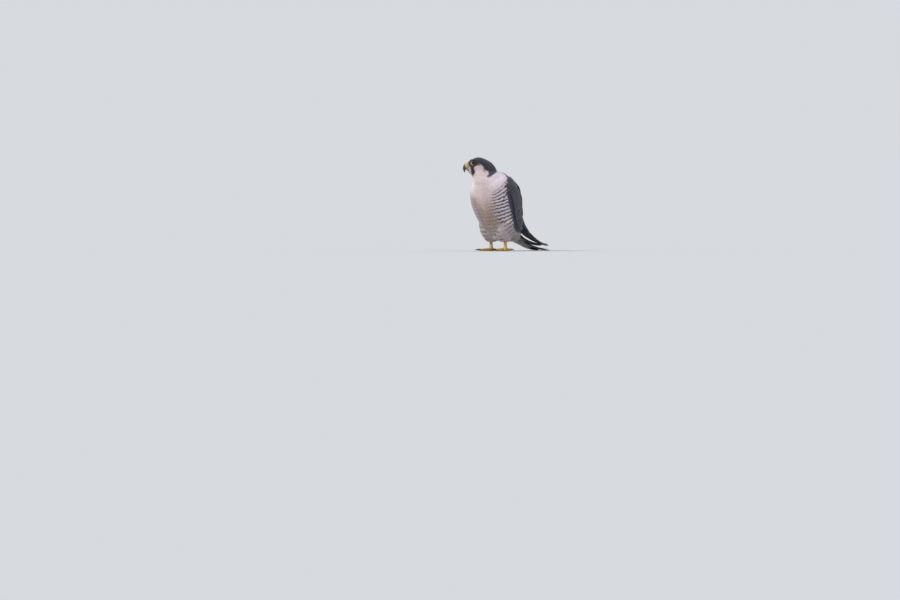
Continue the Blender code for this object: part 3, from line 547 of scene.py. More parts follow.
class Marks:
    """Colour and bars of the plumage at the roots of its feathers.

    The bounds of its tints are stations down the body in millimetres, degrees round it or aside
    of the breast's middle, and the head's own measures.
    """

    def __init__(self, colours, points, rng, kind=None):
        count = len(points)
        self.colours = colours
        self.station, self.turn, signed, self.down = BODY.place(points)
        self.round = signed % 360
        self.aside = np.abs(self.round - BREAST_MIDDLE)
        self.region = region_of(points)
        if kind is not None:
            self.region = np.where((self.region == WING) | (kind == WING), kind, self.region)
        self.forward, self.left, self.up = head_place(points)
        self.points = points
        self.noise = rng.normal(0, 1, count)
        self.paint()
        self.paint_bars()

    def hood_share(self):
        """1 in the slate hood and moustache, 0 on the white cheek and throat."""
        edge = 0.9 + 0.05 * np.abs(self.forward)
        wander = self.noise * 0.55
        hood = inside(HOOD, self.forward, self.up) + wander
        moustache = inside(MOUSTACHE, self.forward, self.up) + wander
        aside = np.abs(self.left)
        narrow = np.interp(self.up, (-40, -20, 0), (9, 5, 2))
        wide = np.interp(self.up, (-34, -24, -10), (17, 20, 30))
        moustache = np.minimum(moustache, np.minimum(aside - narrow, wide - aside) * 1.2)
        self.moustache = smooth(-0.7, 0.7, moustache)
        return np.maximum(smooth(-edge, edge, hood), self.moustache)

    def even(self, colour):
        """One colour at every point."""
        return np.array(colour)[None] * np.ones((len(self.points), 1))

    def pale_ground(self):
        """The underparts, from the white throat to the grey thighs."""
        c, station, aside, noise = self.colours, self.station, self.aside, self.noise
        pale = blend(self.even(c.breast), c.belly, smooth(95, 175, station))
        pale = blend(pale, c.cheek, smooth(40, 26, station))
        shoulder = smooth(12, 48, aside) * smooth(20, 32, station) * smooth(72, 50, station)
        pale = blend(pale, c.hump, shoulder)
        uneven = 5 * np.sin(self.round * 0.21) + 4 * noise
        buff = smooth(36, 10, aside + 3 * noise) * smooth(58, 132, station + uneven)
        buff *= smooth(190, 144, station)
        buff *= np.clip(0.84 + 0.20 * noise + 0.10 * np.sin(self.round * 0.85), 0.2, 1)
        pale = blend(pale, c.buff, buff)
        flank = smooth(24, 38, aside) * smooth(66, 80, station) * smooth(176, 160, station)
        pale = blend(pale, c.flank, flank)
        # Painted shade: the underparts darker on the bird's right side, by OTHER_SIDE
        other = smooth(174, 200, self.round) * smooth(300, 260, self.round) * smooth(66, 92, station)
        pale = pale * (1 - other[:, None] * np.array(OTHER_SIDE))
        # Painted shade under the bill: the chin and throat up to a quarter darker
        chin_shade = smooth(14, 24, self.forward) * smooth(-4, -12, self.up) * (self.region == HEAD)
        pale = pale * (1 - 0.24 * chin_shade[:, None])
        below = smooth(50, 38, self.points[:, 2]) * smooth(45, 30, self.points[:, 1])
        return blend(pale, c.thigh, 0.8 * np.maximum(self.region == THIGH, below))

    def slate_ground(self):
        """The upperparts, from the dark crown to the paler rump."""
        c = self.colours
        crown = smooth(60, 20, self.station)
        slate = blend(self.even(c.mantle), c.rump, smooth(165, 215, self.station))
        slate = blend(slate, c.crown, crown)
        tone = np.interp(self.forward, (-45, -20, 5, 30), (1.25, 1.2, 0.85, 0.8)) ** crown
        return slate * tone[:, None]

    def slate_share(self, near_head):
        """1 in the slate of the hood, nape and mantle, 0 on the pale underparts."""
        limit = back_limit(self.station) + self.noise * 2.5
        share = smooth(limit + 3, limit - 3, self.turn)
        share = share * (1 - near_head) + self.hood_share() * near_head
        nape = read_off(NAPE_EDGE, self.station)
        share = np.maximum(share, smooth(nape + 4, nape - 4, self.turn))
        share[self.region == THIGH] = 0
        return share

    def paint(self):
        """The ground colour of the feathers, and how far they are slate."""
        c = self.colours
        on_head = self.region == HEAD
        near_head = np.maximum(smooth(34, 27, self.station), on_head)
        slate = self.slate_ground()
        self.dorsal = self.slate_share(near_head)
        streak = smooth(3.0, 1.0, np.abs(self.forward + 3.4)) * smooth(-27, -23, self.up)
        streak *= smooth(-5, -10, self.up) * on_head
        spot = smooth(5.5, 2.5, np.hypot(self.forward - 10, self.up + 1.5)) * on_head
        ground = blend(self.pale_ground(), slate, self.dorsal)
        ground = blend(ground, slate, 0.6 * streak)
        ground = blend(ground, c.ear_spot, 0.55 * spot)
        ground = blend(ground, c.moustache, self.moustache * near_head)
        wing = self.region == WING
        ground[wing] = np.array(c.coverts)
        self.dorsal[wing] = 1.0
        ground *= (1 + 0.022 * self.noise)[:, None]
        self.ground = np.clip(ground, 0, 1)

    def paint_bars(self):
        """Spots on the upper breast, bars on the belly, flanks and thighs, soft bars on the back."""
        aside, station = self.aside, self.station
        thigh, wing = self.region == THIGH, self.region == WING
        front = (self.region != HEAD) & ~wing
        first = np.interp(aside, (5, 14, 20, 27, 38, 50, 68, 88), (104, 94, 82, 70, 64, 60, 54, 50))
        flank = smooth(14, 30, aside)
        middle = np.interp(station, (90, 120, 150, 160, 190, 240), (0.34, 0.34, 0.40, 0.5, 0.35, 0.5))
        loops = 0.55 * smooth(5, 12, aside) * smooth(84, 92, station) * smooth(116, 106, station)
        strength = np.maximum(middle + (1 - middle) * flank, loops)
        slow = 8 + 30 * smooth(20, 8, aside)
        strength = strength * smooth(first - 4, first + slow, station) * front
        strength *= 1 - 0.6 * smooth(178, 190, self.round) * smooth(248, 226, self.round)
        strength *= 1 - 0.75 * smooth(60, 48, self.points[:, 2]) * smooth(30, 20, aside)
        grown = smooth(first, first + 36, station)
        wave = 0.7 * np.sin(aside * 0.5 + station * 0.11) + 0.5 * self.noise
        self.bar_station = station + 0.3 * np.clip(aside - 33, 0, 45) * smooth(105, 70, station) + wave
        self.strength, self.duty = strength, 0.30 + 0.08 * grown * flank
        self.reach = 0.25 + 1.1 * grown + 0.3 * flank
        self.pitch = read_off(BAR_PITCH, station)
        quiet = smooth(14, 20, aside) * smooth(36, 28, aside)
        for where, strength, duty, reach, pitch in (
            (thigh, 0.85 - 0.70 * quiet, 0.30, 1.1, 7.0),
            ((self.dorsal > 0.5) & front, 0.4 * smooth(50, 80, station), 0.42, 1.3, 8.0),
            (wing, 0.3, 0.45, 1.3, 7.0),
        ):
            self.strength = np.where(where, strength, self.strength)
            self.duty = np.where(where, duty, self.duty)
            self.reach = np.where(where, reach, self.reach)
            self.pitch = np.where(where, pitch, self.pitch)


# The lay of the coat

def lay_of(points, region, station_down):
    """The way feathers point at each place, before it is laid on the skin."""
    forward, left, _ = head_place(points)
    to_body = smooth(-6, 30, below_head(points))[:, None]
    face = smooth(36, 0, forward)[:, None]
    parting = np.clip(left / 6, -1, 1)[:, None] * 0.25
    back_of_head = -FORWARD - UP * (0.25 + 0.55 * face) + LEFT * parting
    flow = back_of_head * (1 - to_body) + station_down * to_body
    flow[region == THIGH] = (0, 0.18, -1.0)
    wing, side, u, v = on_wing(points, region)
    for sign, _ in SIDES:
        mine = side == sign
        flow[wing[mine]], _ = wing_frame(u[mine], v[mine], sign)
    return unit(flow)


class Hide:
    """The skin as a surface that feathers are laid on."""

    def __init__(self, obj):
        points = bird_points(obj)
        faces = [tuple(p.vertices) for p in obj.data.polygons]
        self.tree = BVHTree.FromPolygons(points.tolist(), faces)
        normals = normals_of(obj.data)
        self.face_normals = unit(np.array([normals[list(f)].sum(axis=0) for f in faces]))
        self.points = points
        self.faces = faces
        halves = [np.array([points[[f[0], f[i], f[j]]] for f in faces]) for i, j in ((1, 2), (2, -1))]
        self.areas = sum(
            np.linalg.norm(np.cross(t[:, 1] - t[:, 0], t[:, 2] - t[:, 0]), axis=1) / 2
            for t in halves
        )
        self.middles = np.array([points[list(f)].mean(axis=0) for f in faces])

    def settle(self, points):
        """The nearest places on the skin and the smooth way out of it there."""
        find = self.tree.find_nearest
        found = [find(p) for p in points.reshape(-1, 3).tolist()]
        places = np.array([f[0][:] for f in found]).reshape(points.shape)
        normals = self.face_normals[[f[2] for f in found]].reshape(points.shape)
        return places, normals

    def draw_in(self, points, normals, facing, reach):
        """Points drawn onto the skin, its normals there, and how far each one was drawn.

        facing and reach are the ends of a smooth step: how well the skin faces as the points' own
        normals do, and how far away it is.
        """
        found, turned = self.settle(points)
        share = smooth(*facing, (turned * normals).sum(1))[:, None]
        share *= smooth(*reach, np.linalg.norm(found - points, axis=1))[:, None]
        return found * share + points * (1 - share), turned, share

    def roots(self, faces, spacings, rng):
        """Evenly scattered points of some faces, about a spacing apart, each with its own spacing."""
        wanted = self.areas[faces] / spacings ** 2
        count = int(wanted.sum() * TRIALS)
        picked = rng.choice(len(faces), count, p=wanted / wanted.sum())
        corners = np.array([[self.points[self.faces[f][k]] for k in (0, 1, 2, -1)] for f in faces])
        a, b = rng.random((2, count, 1))
        quad = corners[picked]
        points = (
            quad[:, 0] * (1 - a) * (1 - b) + quad[:, 1] * a * (1 - b)
            + quad[:, 2] * a * b + quad[:, 3] * (1 - a) * b
        )
        near = spacings[picked]
        tree = KDTree(count)
        for i, point in enumerate(points.tolist()):
            tree.insert(point, i)
        tree.balance()
        taken = np.zeros(count, bool)
        kept = []
        for i in range(count):
            if taken[i]:
                continue
            kept.append(i)
            for _, j, _ in tree.find_range(points[i], near[i]):
                taken[j] = True
        return points[kept], near[kept]


# Feathers

FEATHER_FIELDS = (
    ("ground", "FLOAT_COLOR", 4), ("mark", "FLOAT_VECTOR", 3), ("bar", "FLOAT_VECTOR", 3),
    ("local", "FLOAT_VECTOR", 3), ("dorsal", "FLOAT", 1),
)

# The size of a small feather's place on the unwrap, and the trial roots for each kept one
PATCH = 0.003
TRIALS = 11

# How strongly the small feathers are shaded as one surface, how far from the skin their tips may
# end, and how their rows crowd to the tip
LED = 3.0
STRAY = 1.2
TIP_FINER = 1.6

# How far they swing from their lay in radians, and as shares of half their width how far their
# edges bend down and how thick they are under the shaft, up to a thickness in millimetres
SWING = 0.08
CAMBER = 0.05
SHAFT_DEPTH, DEEPEST = 0.08, 0.16


def lens_faces(rows, columns):
    """Faces of a closed feather: a full grid on top and two strips that meet under its shaft."""
    middle = columns // 2

    def top(k, j):
        return k * columns + j

    def under(k):
        return rows * columns + k - 1

    faces = [
        (top(k, j), top(k + 1, j), top(k + 1, j + 1), top(k, j + 1))
        for k in range(rows - 1) for j in range(columns - 1)
    ]
    for k in range(1, rows - 2):
        faces.append((top(k, 0), under(k), under(k + 1), top(k + 1, 0)))
        faces.append((under(k), top(k, columns - 1), top(k + 1, columns - 1), under(k + 1)))
    last = rows - 1
    left, right = range(middle + 1), range(middle, columns)
    near, end = last - 1, columns - 1
    faces.append((*(top(0, j) for j in left), under(1), top(1, 0)))
    faces.append((*(top(0, j) for j in right), top(1, end), under(1)))
    faces.append((top(near, 0), under(near), *(top(last, j) for j in reversed(left))))
    faces.append((under(near), top(near, end), *(top(last, j) for j in reversed(right))))
    return faces


class Coat:
    """Feathers gathered as plain arrays until they become one object."""

    def __init__(self):
        self.points, self.loops, self.sizes, self.patches, self.normals = [], [], [], [], []
        self.values = {name: [] for name, _, _ in FEATHER_FIELDS}
        self.count = 0

    def add(self, points, faces, values, patches, normals):
        """Adds like feathers: points (feather, vertex, 3) and faces of one of them.

        normals leads the shading of a vertex towards the surface that it lies on, or is zero.
        """
        feathers, each = points.shape[:2]
        starts = self.count + np.arange(feathers) * each
        flat = np.concatenate([np.array(f) for f in faces])
        self.loops.append((starts[:, None] + flat[None]).ravel())
        self.sizes.append(np.tile([len(f) for f in faces], feathers))
        self.points.append(points.reshape(-1, 3))
        self.patches.append(patches.reshape(-1, 2))
        self.normals.append(normals.reshape(-1, 3))
        for name, _, width in FEATHER_FIELDS:
            self.values[name].append(values[name].reshape(-1, width))
        self.count += feathers * each

    def build(self, name, material, nodes=()):
        """The gathered feathers as one piece of the model."""
        mesh = bpy.data.meshes.new(name)
        points = placed(np.concatenate(self.points))
        loops = np.concatenate(self.loops).astype(np.int32)
        sizes = np.concatenate(self.sizes)
        mesh.vertices.add(len(points))
        mesh.vertices.foreach_set("co", points.ravel().astype(np.float32))
        mesh.loops.add(len(loops))
        mesh.loops.foreach_set("vertex_index", loops)
        mesh.polygons.add(len(sizes))
        starts = np.concatenate([[0], np.cumsum(sizes)[:-1]]).astype(np.int32)
        mesh.polygons.foreach_set("loop_start", starts)
        mesh.update(calc_edges=True)
        mesh.shade_smooth()
        led = unit(normals_of(mesh) + np.concatenate(self.normals))
        mesh.normals_split_custom_set_from_vertices(led.tolist())
        made = bpy.data.objects.new(name, mesh)
        bpy.context.scene.collection.objects.link(made)
        for field, kind, _ in FEATHER_FIELDS:
            attribute(made, field, kind, np.concatenate(self.values[field]))
        layer = mesh.uv_layers.new(name="OFBake")
        patches = np.clip(np.concatenate(self.patches), 0, 1)
        layer.data.foreach_set("uv", patches[loops].ravel().astype(np.float32))
        finish_piece(made, material, nodes)


def finish_piece(obj, material, nodes=()):
    """Rides a piece on the body, with its material, slot and the solids that it stands for."""
    obj.data.materials.append(material)
    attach(obj, "root")
    if nodes:
        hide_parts(*nodes)


def bar_phase(station):
    """Bars passed from the head to a place down the body."""
    step = 2.0
    steps = np.arange(0, 420, step)
    pitch = read_off(BAR_PITCH, steps)
    return np.interp(station, steps, np.concatenate([[0], np.cumsum(step / pitch[:-1])]))


def unwrap(points, region):
    """Each root's place on an unwrap of the skin's own shape, from 0 to 1."""
    station, _, signed, _ = BODY.place(points)
    flat = np.stack([0.5 + signed / 372, 0.02 + 0.96 * np.clip(station / 330, 0, 1)], 1)
    head = region == HEAD
    forward, left, up = head_place(points)
    round_head = np.arctan2(left, up + 7) / (2 * math.pi)
    flat[head] = np.stack([0.5 + 0.97 * round_head, 0.02 + 0.96 * (forward + 50) / 90], 1)[head]
    thigh = region == THIGH
    angle = np.arctan2(points[:, 1], np.abs(points[:, 0]) - 28) / (2 * math.pi) + 0.5
    flat[thigh] = np.stack([
        np.where(points[:, 0] > 0, 0.02, 0.51) + 0.47 * angle, 0.02 + points[:, 2] / 90,
    ], 1)[thigh]
    wing, _, u, v = on_wing(points, region)
    flat[wing] = np.stack([0.02 + 0.95 * v, 0.02 + 0.95 * u], 1)
    return flat


def on_skin(ways, normals):
    """Ways turned to run along the skin."""
    return unit(ways - normals * (ways * normals).sum(1, keepdims=True))


def feather_lines(hide, region, roots, length, shares, rng):
    """Place, normal and way ahead at each share of the feathers' length, drawn down the skin."""
    place, normal = hide.settle(roots)
    _, _, _, down = BODY.place(place)
    way = on_skin(lay_of(place, region, down), normal)
    way = unit(way + np.cross(normal, way) * rng.normal(0, SWING, (len(roots), 1)))
    first_normal = normal
    lines = [(place, normal, way)]
    for step in np.diff(shares):
        ahead = place + way * length * step
        place, turned, drawn = hide.draw_in(ahead, first_normal, (0.1, 0.6), (4.0, 2.0))
        normal = unit(turned * drawn + normal * (1 - drawn))
        way = on_skin(way, normal)
        lines.append((place, normal, way))
    return lines


def feather_values(marks, points, length, half_width, along, across, rng):
    """What the materials read at each vertex, from its shares along and across its feather."""
    feathers, count = points.shape[:2]
    pitch = marks.pitch[:, None]
    run = along[None] * length
    feather_phase = (run - length) / pitch + 0.62
    down_body = np.einsum("nvj,nj->nv", points - marks.points[:, None], marks.down)
    body_phase = bar_phase(marks.bar_station)[:, None] + down_body / pitch
    phase = np.where((marks.dorsal > 0.5)[:, None], feather_phase, body_phase)
    phase = phase + rng.normal(0, 0.05, (feathers, 1)) + 0.10 * across[None] ** 2
    each = np.ones((feathers, count))
    shade = each * rng.random((feathers, 1))
    ground = np.repeat(marks.ground[:, None], count, 1)
    bar = [each * field[:, None] for field in (marks.strength, marks.duty, marks.reach)]
    return {
        "ground": np.concatenate([ground, each[..., None]], 2),
        "mark": np.stack([phase, each * across, shade], 2),
        "bar": np.stack(bar, 2),
        "local": np.stack([run, across * half_width, each * along], 2),
        "dorsal": each * marks.dorsal[:, None],
    }


def lay_feathers(coat, hide, colours, roots, kind, sizes, rng, rows, columns):
    """Lays a curved closed feather of one kind on the skin at each root.

    sizes holds each feather's length, half width, and height over the skin at root and tip.
    """
    sizes = [s[:, None] for s in sizes]
    region = np.full(len(roots), kind)
    shares = 1 - (1 - np.linspace(0, 1, rows)) ** TIP_FINER
    lines = feather_lines(hide, region, roots, sizes[0], shares, rng)
    tips = lines[-1][0]
    kept = np.linalg.norm(hide.settle(tips)[0] - tips, axis=1) < STRAY
    lines = [tuple(values[kept] for values in line) for line in lines]
    roots, region = roots[kept], region[kept]
    length, half_width, low, high = (s[kept] for s in sizes)
    jitter = rng.normal(0, 0.05, (len(roots), 1)) * (high - low)
    reaches = np.linspace(-1, 1, columns)
    outline = feather_outline(shares)
    top = np.empty((len(roots), rows, columns, 3))
    led = np.zeros((len(roots), rows * columns + rows - 2, 3))
    under = np.empty((len(roots), rows - 2, 3))
    for k, (place, normal, way) in enumerate(lines):
        side = np.cross(normal, way)
        rise = low + (high - low) * shares[k] + jitter
        for j, reach in enumerate(reaches):
            spot = place + side * (half_width * outline[k] * reach)
            if reach and columns > 3 and kind != WING:
                spot, _, _ = hide.draw_in(spot, normal, (0.2, 0.7), (3.0, 1.5))
            camber = half_width * CAMBER * reach ** 2
            top[:, k, j] = spot + normal * (rise - camber)
            led[:, k * columns + j] = normal * LED
        if 0 < k < rows - 1:
            depth = np.minimum(DEEPEST, half_width * SHAFT_DEPTH)
            under[:, k - 1] = top[:, k, columns // 2] - normal * depth
    points = np.concatenate([top.reshape(len(roots), -1, 3), under], axis=1)
    marks = Marks(colours, lines[rows // 2][0], rng, region)
    along = np.concatenate([np.repeat(shares, columns), shares[1:-1]])
    across = np.concatenate([np.tile(reaches, rows), np.zeros(rows - 2)])
    values = feather_values(marks, points, length, half_width, along, across, rng)
    patches = unwrap(roots, region)[:, None] + np.stack([across / 2, along - 0.5], 1)[None] * PATCH
    coat.add(points, lens_faces(rows, columns), values, patches, led)


def feather_outline(shares):
    """Half width of a body feather at shares of its length, with a round tip."""
    swell = 0.45 + 0.55 * smooth(0, 0.45, shares)
    end = np.clip((shares - 0.60) / 0.40, 0, 1)
    return swell * np.sqrt(np.maximum(1 - end ** 2.2, 0.02))


def flight_outline(shares, tip, point):
    """Half width of a long feather: tip is the rounded share of its length, point how far it narrows."""
    swell = 0.55 + 0.45 * smooth(0, 0.3, shares)
    narrow = 1 - point * smooth(0.45, 1.0, shares)
    end = np.clip((shares - 1 + tip) / tip, 0, 1)
    return swell * narrow * np.sqrt(np.maximum(1 - end ** 2.4, 0.006))


# What a long feather looks like where nothing else is said: lengths in millimetres, shares of
# its length, and its bars
LOOK = {
    "step": 2.6, "splits": 4, "tip": 0.16, "point": 0.0, "tilt": 0.0, "droop": 0.06,
    "thickness": 0.30, "pitch": 9.0, "start": 0.55, "strength": 0.5, "duty": 0.42, "dorsal": 1.0,
    "floor": -1.0,
}

# Vertices across a long feather, and the millimetres of its edge that a split takes up
LONG_COLUMNS = 9
SPLIT = 0.45

# How the long feathers' places lie on the unwrap, and the share of a wing feather's length over
# which it rises
PATCH_COLUMNS, PATCH_ROWS = 34, 3
WING_RISE = 0.62


def patch_of(index):
    """A long feather's own place on the unwrap: left, low, width and height."""
    row, column = divmod(index, PATCH_COLUMNS)
    left, low = (column + 0.06) / PATCH_COLUMNS, (row + 0.04) / PATCH_ROWS
    return left, low, 0.88 / PATCH_COLUMNS, 0.92 / PATCH_ROWS


def path_length(path):
    """Millimetres along a path from share 0 to 1."""
    points = path(np.linspace(0, 1, 24))[0]
    return float(np.linalg.norm(np.diff(points, axis=0), axis=1).sum())


def split_shares(look, splits, cut):
    """Even shares of a long feather's length, with three at each split in place of those near it."""
    shares = np.linspace(0, 1, max(8, int(look["length"] / look["step"])))
    for split in splits:
        shares = shares[np.abs(shares - split) > 2.2 * cut]
    extra = [s + d * cut for s in splits for d in (-1.6, 0, 1.6)]
    shares = np.sort(np.concatenate([shares, extra]))
    return shares[(shares >= 0) & (shares <= 1)]


def long_feather(coat, rng, path, **changes):
    """One long feather from a function of its share, with splits between its barbs.

    path(share) gives the shaft's place, the way ahead and the way out. The changes to LOOK hold
    the half widths inwards and outwards, and the colour.
    """
    look = dict(LOOK, length=path_length(path), **changes)
    columns = LONG_COLUMNS
    cut = SPLIT / look["length"]
    splits = sorted(rng.uniform(0.3, 0.97, look["splits"]))
    shares = split_shares(look, splits, cut)
    rows = len(shares)
    place, way, normal = path(shares)
    side = unit(np.cross(normal, way))
    across = np.linspace(-1, 1, columns)
    across = np.sign(across) * np.abs(across) ** 0.85
    outline = flight_outline(shares, look["tip"], look["point"])
    notch = np.ones((2, rows))
    for split in splits:
        web = rng.integers(0, 2)
        notch[web, np.abs(shares - split) < 0.5 * cut] = 1 - rng.uniform(0.10, 0.34)
    ripple = 1 + 0.012 * np.sin(shares * look["length"] * 0.55 + rng.uniform(0, 6))
    top = np.empty((rows, columns, 3))
    reach_mm = np.empty((rows, columns))
    widest = max(look["inner"], look["outer"])
    for j, share in enumerate(across):
        web, wide = (0, look["inner"]) if share < 0 else (1, look["outer"])
        reach = share * wide * outline * ripple * notch[web] ** (abs(share) ** 3)
        lift = look["tilt"] * reach - look["droop"] * np.abs(reach) ** 2 / widest
        lift = lift + 0.16 * math.exp(-(share / 0.12) ** 2) * (1 - 0.7 * shares)
        top[:, j] = place + side * reach[:, None] + normal * lift[:, None]
        reach_mm[:, j] = reach
    middle = top[1:-1, columns // 2] - normal[1:-1] * look["thickness"]
    points = np.concatenate([top.reshape(-1, 3), middle])[None]
    points[..., 2] = np.maximum(points[..., 2], look["floor"])
    t = np.concatenate([np.repeat(shares, columns), shares[1:-1]])
    c = np.concatenate([np.tile(across, rows), np.zeros(rows - 2)])
    mm = np.concatenate([reach_mm.ravel(), np.zeros(rows - 2)])
    along = t * look["length"]
    phase = (along - look["length"]) / look["pitch"] + look["start"] + 0.12 * np.abs(c)
    one = np.ones(len(t))
    tone = look["colour"] * (1 + 0.06 * rng.normal())
    values = {
        "ground": np.concatenate([np.outer(one, tone), one[:, None]], 1),
        "mark": np.stack([phase, c, one * rng.random()], 1),
        "bar": np.stack([one * look["strength"], one * look["duty"], one * 1.3], 1),
        "local": np.stack([along, mm, t], 1),
        "dorsal": one * look["dorsal"],
    }
    left, low, wide, tall = patch_of(len(coat.points))
    patches = np.stack([left + wide * (0.5 + 0.5 * c), low + tall * t], 1)
    values = {k: v[None] for k, v in values.items()}
    coat.add(points, lens_faces(rows, columns), values, patches, np.zeros(points.shape))


def wing_path(side, root, tip, sink, proud):
    """The line of a feather laid on the wing from (u, v) to (u, v)."""
    def path(shares):
        u = root[0] + (tip[0] - root[0]) * shares
        v = root[1] + (tip[1] - root[1]) * shares
        _, normal = wing_frame(u, v, side)
        rise = sink + (proud - sink) * np.clip(shares / WING_RISE, 0, 1)
        place = wing_point(u, v, side) + normal * rise[:, None]
        return place, unit(np.gradient(place, axis=0)), normal
    return path


def tail_place(shares):
    """Places on the tail's axis and the way up from it."""
    here = spline(TAIL_LINE, shares)
    step = 0.03
    ahead = spline(TAIL_LINE, shares + step) - spline(TAIL_LINE, shares - step)
    zero = np.zeros(len(shares))
    up = unit(np.stack([zero, -ahead[:, 1], ahead[:, 0]], 1))
    return np.stack([zero, here[:, 0], here[:, 1]], 1), up


def tail_path(side, root_side, tip_side, start, end, height, end_height):
    """The line of a feather of the tail."""
    def path(shares):
        place, up = tail_place(start + (end - start) * shares)
        out = root_side + (tip_side - root_side) * shares
        rise = height + (end_height - height) * shares
        place = place + np.outer(out * side, X_AXIS) + up * rise[:, None]
        return place, unit(np.gradient(place, axis=0)), up
    return path


# Skin

def tail_root_rings():
    """The flesh from the rump into the tail."""
    centre, under, half_width, below, above = RUMP_RING
    rings = [oval(np.array(centre), X_AXIS, under, half_width, below, above, 24)]
    for share, half_width, half_height in TAIL_ROOT:
        place, up = tail_place(np.array([share]))
        rings.append(oval(place[0], X_AXIS, -up[0], half_width, half_height, half_height, 24))
    return rings


def wing_core_rings(side, across=13, along=26):
    """The wing's flesh and the stack of feather roots behind it."""
    rings = []
    for u in np.linspace(0, WING_CORE_END, along):
        v = np.linspace(0, 1, across)
        _, normal = wing_frame(np.full(across, u), v, side)
        surface = wing_point(np.full(across, u), v, side)
        rounding = (WING_ROUNDING * (2 * v - 1) ** 4)[:, None]
        dip = SHOULDER_DIP * max(0.0, 1 - u / DIP_END) ** 1.5
        depth = WING_THICKNESS * (1 - 0.2 * u) + dip
        outer = surface - normal * (rounding + dip + WING_COVER)
        inner = surface - normal * (depth - rounding * 0.6)
        rings.append(np.concatenate([outer, inner[::-1]]))
    return rings


def vent_rings():
    """The fluff that closes the gap between the thighs."""
    return [
        oval(np.array([0, back, VENT_RISE]), X_AXIS, Z_AXIS, half_width, half_height, half_height, 20)
        for back, half_width, half_height in VENT_RINGS
    ]


def solid_copy(node, swell):
    """A solid's shape as a new object, grown a little so that it meets its neighbours."""
    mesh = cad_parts[node].data.copy()
    shaped = bmesh.new()
    shaped.from_mesh(mesh)
    bmesh.ops.remove_doubles(shaped, verts=shaped.verts, dist=1e-6)
    bmesh.ops.recalc_face_normals(shaped, faces=shaped.faces)
    shaped.to_mesh(mesh)
    shaped.free()
    move_vertices(mesh, vertices_of(mesh) + normals_of(mesh) * swell * MM)
    made = bpy.data.objects.new(node + "_copy", mesh)
    bpy.context.scene.collection.objects.link(made)
    return made


def outer_shell(mesh):
    """Drops every closed surface of a mesh but the largest."""
    shaped = bmesh.new()
    shaped.from_mesh(mesh)
    unseen = set(shaped.verts)
    groups = []
    while unseen:
        stack = [unseen.pop()]
        group = []
        while stack:
            vertex = stack.pop()
            group.append(vertex)
            for edge in vertex.link_edges:
                other = edge.other_vert(vertex)
                if other in unseen:
                    unseen.discard(other)
                    stack.append(other)
        groups.append(group)
    groups.sort(key=len)
    for group in groups[:-1]:
        bmesh.ops.delete(shaped, geom=group, context="VERTS")
    shaped.to_mesh(mesh)
    shaped.free()


FLESH = ("torso", "neck", "head", "thigh_left", "thigh_right")
FLESH_SWELL = 0.45


def make_skin(voxel, head_coat, body_coat, wing_coat):
    """One closed skin under the whole coat, inside the solids by the coat's depth."""
    parts = [solid_copy(node, FLESH_SWELL) for node in FLESH]
    parts += [loft(f"core_{name}", wing_core_rings(side)) for side, name in SIDES]
    parts += [loft("tail_root", tail_root_rings()), loft("vent", vent_rings())]
    skin = joined("skin", parts)
    remesh = skin.modifiers.new("remesh", "REMESH")
    remesh.mode = "VOXEL"
    remesh.voxel_size = voxel
    relax = skin.modifiers.new("relax", "SMOOTH")
    relax.factor = 0.5
    relax.iterations = 10
    graph = bpy.context.evaluated_depsgraph_get()
    mesh = bpy.data.meshes.new_from_object(skin.evaluated_get(graph))
    skin.modifiers.clear()
    skin.data = mesh
    mesh.name = "skin"
    outer_shell(mesh)
    depth = coat_depth(bird_points(skin), head_coat, body_coat, wing_coat)
    move_vertices(mesh, vertices_of(mesh) - normals_of(mesh) * depth[:, None])
    mesh.materials.clear()
    mesh.shade_smooth()
    return skin


def mark_skin(skin, colours, rng):
    """Gives the skin the same marks as the coat over it."""
    marks = Marks(colours, bird_points(skin), rng)
    one = np.ones(len(marks.points))
    # The skin's ground is a fifth darker than the coat's, as painted shade under the feathers
    values = {
        "ground": np.concatenate([marks.ground * 0.8, one[:, None]], 1),
        "mark": np.stack([bar_phase(marks.bar_station), 0 * one, 0.5 * one], 1),
        "bar": np.stack([marks.strength, marks.duty, marks.reach], 1),
        "local": np.stack([0 * one, 9 * one, 0.6 * one], 1),
        "dorsal": marks.dorsal,
    }
    for field, kind, _ in FEATHER_FIELDS:
        attribute(skin, field, kind, values[field])


# Bare parts

# Middle of a nostril in the head's own measures, and the rise of the crease that ends the cere
NOSTRIL = (37.6, 0.5)
CERE_CREASE = -8.6

# The edges of the mouth: forward and rise at both ends, and how far out they run
GAPE_LINE = ((37.4, -8.9), (32.8, -9.5))
GAPE_OUT = ((32, 8.2), (34, 7.1), (37.4, 5.6))


def bill_ring(row, count):
    """A ring of the bill from a row of its table."""
    forward, rise, tilt, half_width, above, below = row
    tilt = math.radians(tilt)
    up = UP * math.cos(tilt) + FORWARD * math.sin(tilt)
    return oval(at_head(forward, 0, rise), LEFT, up, half_width, above, below, count, 2.2)


def bill_share(obj, first, last):
    """How far along the bill each vertex is, for its colour."""
    forward, _, up = head_place(bird_points(obj))
    reach = np.hypot(forward - 34, up + 2)
    attribute(obj, "share", "FLOAT", np.clip((reach - first) / (last - first), 0, 1))


